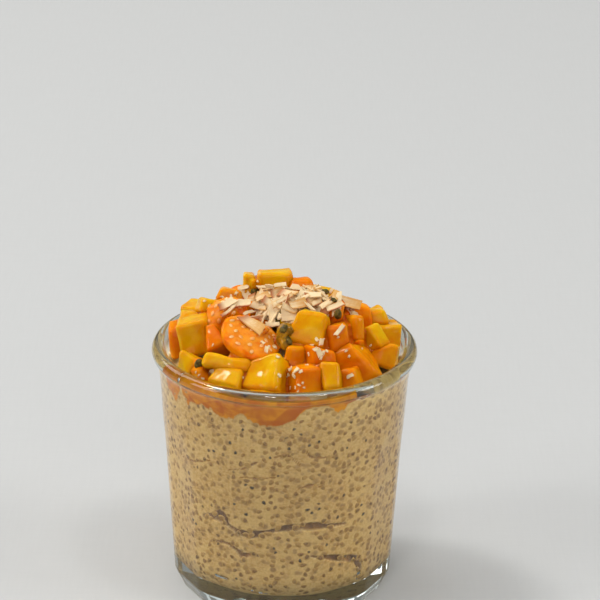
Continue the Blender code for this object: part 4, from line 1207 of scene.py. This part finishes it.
def named_flake(rng, pile, px, py, length, width, degrees, lean):
    """One of the shavings that show well. It faces the viewer as far as it leans."""
    hit, normal = seen(pile, px, py)
    skinned = 1 if length > 8.5 and px < 260.0 or px < 230.0 else None
    verts, faces, values = flake(rng, length, width, rng.uniform(0.55, 0.85), rng.uniform(-0.2, 0.5), skinned)
    if lean is None:
        up = normal - CAMERA_AHEAD * 0.7
        lift = 1.0
    else:
        up = Vector((rng.gauss(0.0, 0.14), rng.gauss(0.0, 0.14), 1.0 - lean))
        up += normal * 0.2 - CAMERA_AHEAD * lean
        lift = 0.3
    up.normalize()
    bend = math.radians(degrees)
    along = CAMERA_RIGHT * math.cos(bend) + CAMERA_UP * math.sin(bend)
    along += CAMERA_AHEAD * max(-1.5, min(1.5, -along.dot(up) / CAMERA_AHEAD.dot(up)))
    along = (along - up * along.dot(up)).normalized()
    turning = np.array((along, up.cross(along), up))
    return verts @ turning + np.array(hit + up * lift), faces, values


def crumb(rng, pile, px, py, size):
    """A pale speck of coconut lying on what a pixel shows."""
    hit, normal = seen(pile, px, py)
    verts, faces, values = flake(rng, size, size * rng.uniform(0.5, 0.8), min(0.55, size * 0.5), 0.3)
    values = {key: data * (key == "strand") for key, data in values.items()}
    return verts @ basis(normal, rng.uniform(0.0, math.pi)).T + np.array(hit + normal * 0.08), faces, values


def make_coconut(base, tree):
    """The pile of shavings, those round it that show well, and crumbs, on the pieces of base."""
    rng = random.Random(12)
    parts = pile_flakes(rng, tree)
    pile = tree_of(base, parts)
    parts += [named_flake(rng, pile, *numbers) for numbers in NAMED_FLAKES]
    parts += [crumb(rng, pile, *numbers) for numbers in CRUMBS]
    for verts, _, _ in parts:
        verts[:, 2] -= max(0.0, verts[:, 2].max() - HIGHEST)
    item = joined("coconut_flakes", parts, coconut_material(), ("toast", "skin", "strand"))
    item.data.set_sharp_from_angle(angle=math.radians(38.0))
    return finish_piece(item, ["coconut"])


# ---------------- stage

LIT_CENTRE = Vector((0.0, 0.0, 0.05))


def make_stage():
    """A pale floor with a faint weave, which runs on to be the background."""
    shade = Shade("pale_cloth")
    threads = [shade.noise(0.9, 2.0, 0.5, way) for way in ((0.06, 1.0, 1.0), (1.0, 0.06, 1.0))]
    weave = shade.ramp(shade.math("ADD", *threads), 0.7, 1.3, kind="LINEAR")
    colour = shade.mix(weave, (0.502, 0.509, 0.506), (0.514, 0.521, 0.518))
    shade.set(Base_Color=colour, Roughness=0.9, Specular_IOR_Level=0.0)
    mesh = bpy.data.meshes.new("floor")
    mesh.from_pydata([(-4, -3, 0), (4, -3, 0), (4, 9, 0), (-4, 9, 0)], [], [(0, 1, 2, 3)])
    mesh.materials.append(shade.material)
    add_item("floor", mesh)


def add_light(name, at, size, power, colour=(1.0, 1.0, 1.0)):
    light = bpy.data.lights.new(name, "AREA")
    light.shape = "RECTANGLE"
    light.size, light.size_y = size
    light.energy = power
    light.color = colour
    item = add_item(name, light)
    item.location = at
    item.rotation_euler = (LIT_CENTRE - Vector(at)).to_track_quat("-Z", "Y").to_euler()


def make_lights():
    """Large soft lamps round the table, and small ones above for crisp glints on wet fruit."""
    world = bpy.data.worlds.new("studio")
    bpy.context.scene.world = world
    world.use_nodes = True
    sky = world.node_tree.nodes["Background"].inputs
    sky["Color"].default_value = (1.0, 0.98, 0.95, 1.0)
    sky["Strength"].default_value = 0.22
    add_light("window", (-2.1, 1.9, 2.5), (1.9, 1.9), 35.0, (0.99, 0.99, 1.0))
    add_light("overhead", (0.0, -0.1, 3.3), (2.6, 2.6), 21.0)
    add_light("front", (0.1, -3.1, 1.8), (3.2, 2.0), 26.0)
    add_light("left", (-3.0, -1.0, 1.3), (1.6, 1.6), 30.0)
    add_light("right", (3.1, -0.6, 1.3), (1.4, 1.4), 35.0)
    add_light("backdrop", (0.3, 3.6, 1.6), (3.6, 1.3), 7.0, (0.96, 0.98, 1.0))
    glints = (((-1.3, 0.5, 2.4), 23.0, 0.4), ((1.0, -0.7, 2.6), 9.0, 0.3),
              ((-0.4, -1.3, 2.7), 9.0, 0.3), ((-2.2, -0.6, 2.0), 8.0, 0.3))
    for index, (at, power, width) in enumerate(glints):
        add_light("glint_%d" % index, at, (width, width * 1.3), power, (1.0, 0.985, 0.96))


def make_camera():
    data = bpy.data.cameras.new("camera")
    data.sensor_width = 36.0
    data.lens = data.sensor_width * FOCAL / PIXELS
    data.shift_x = 0.5 - CENTRE[0] / PIXELS
    data.shift_y = CENTRE[1] / PIXELS - 0.5
    data.clip_start, data.clip_end = 0.05, 20.0
    camera = add_item("camera", data)
    turned = Matrix((CAMERA_RIGHT, CAMERA_UP, -CAMERA_AHEAD)).transposed()
    camera.matrix_world = Matrix.Translation(CAMERA_AT * MM) @ turned.to_4x4()
    bpy.context.scene.camera = camera
    bpy.context.scene.view_settings.view_transform = "Standard"


def build():
    make_camera()
    make_stage()
    make_lights()
    make_glass()
    pudding, edge = make_pudding()
    make_seeds(edge)
    make_juice()
    fruit = make_fruit()
    make_syrup(fruit)
    base = fruit + [pudding]
    tree = tree_of(base)
    make_face_seeds()
    make_large_seeds(tree)
    make_coconut(base, tree)


build()
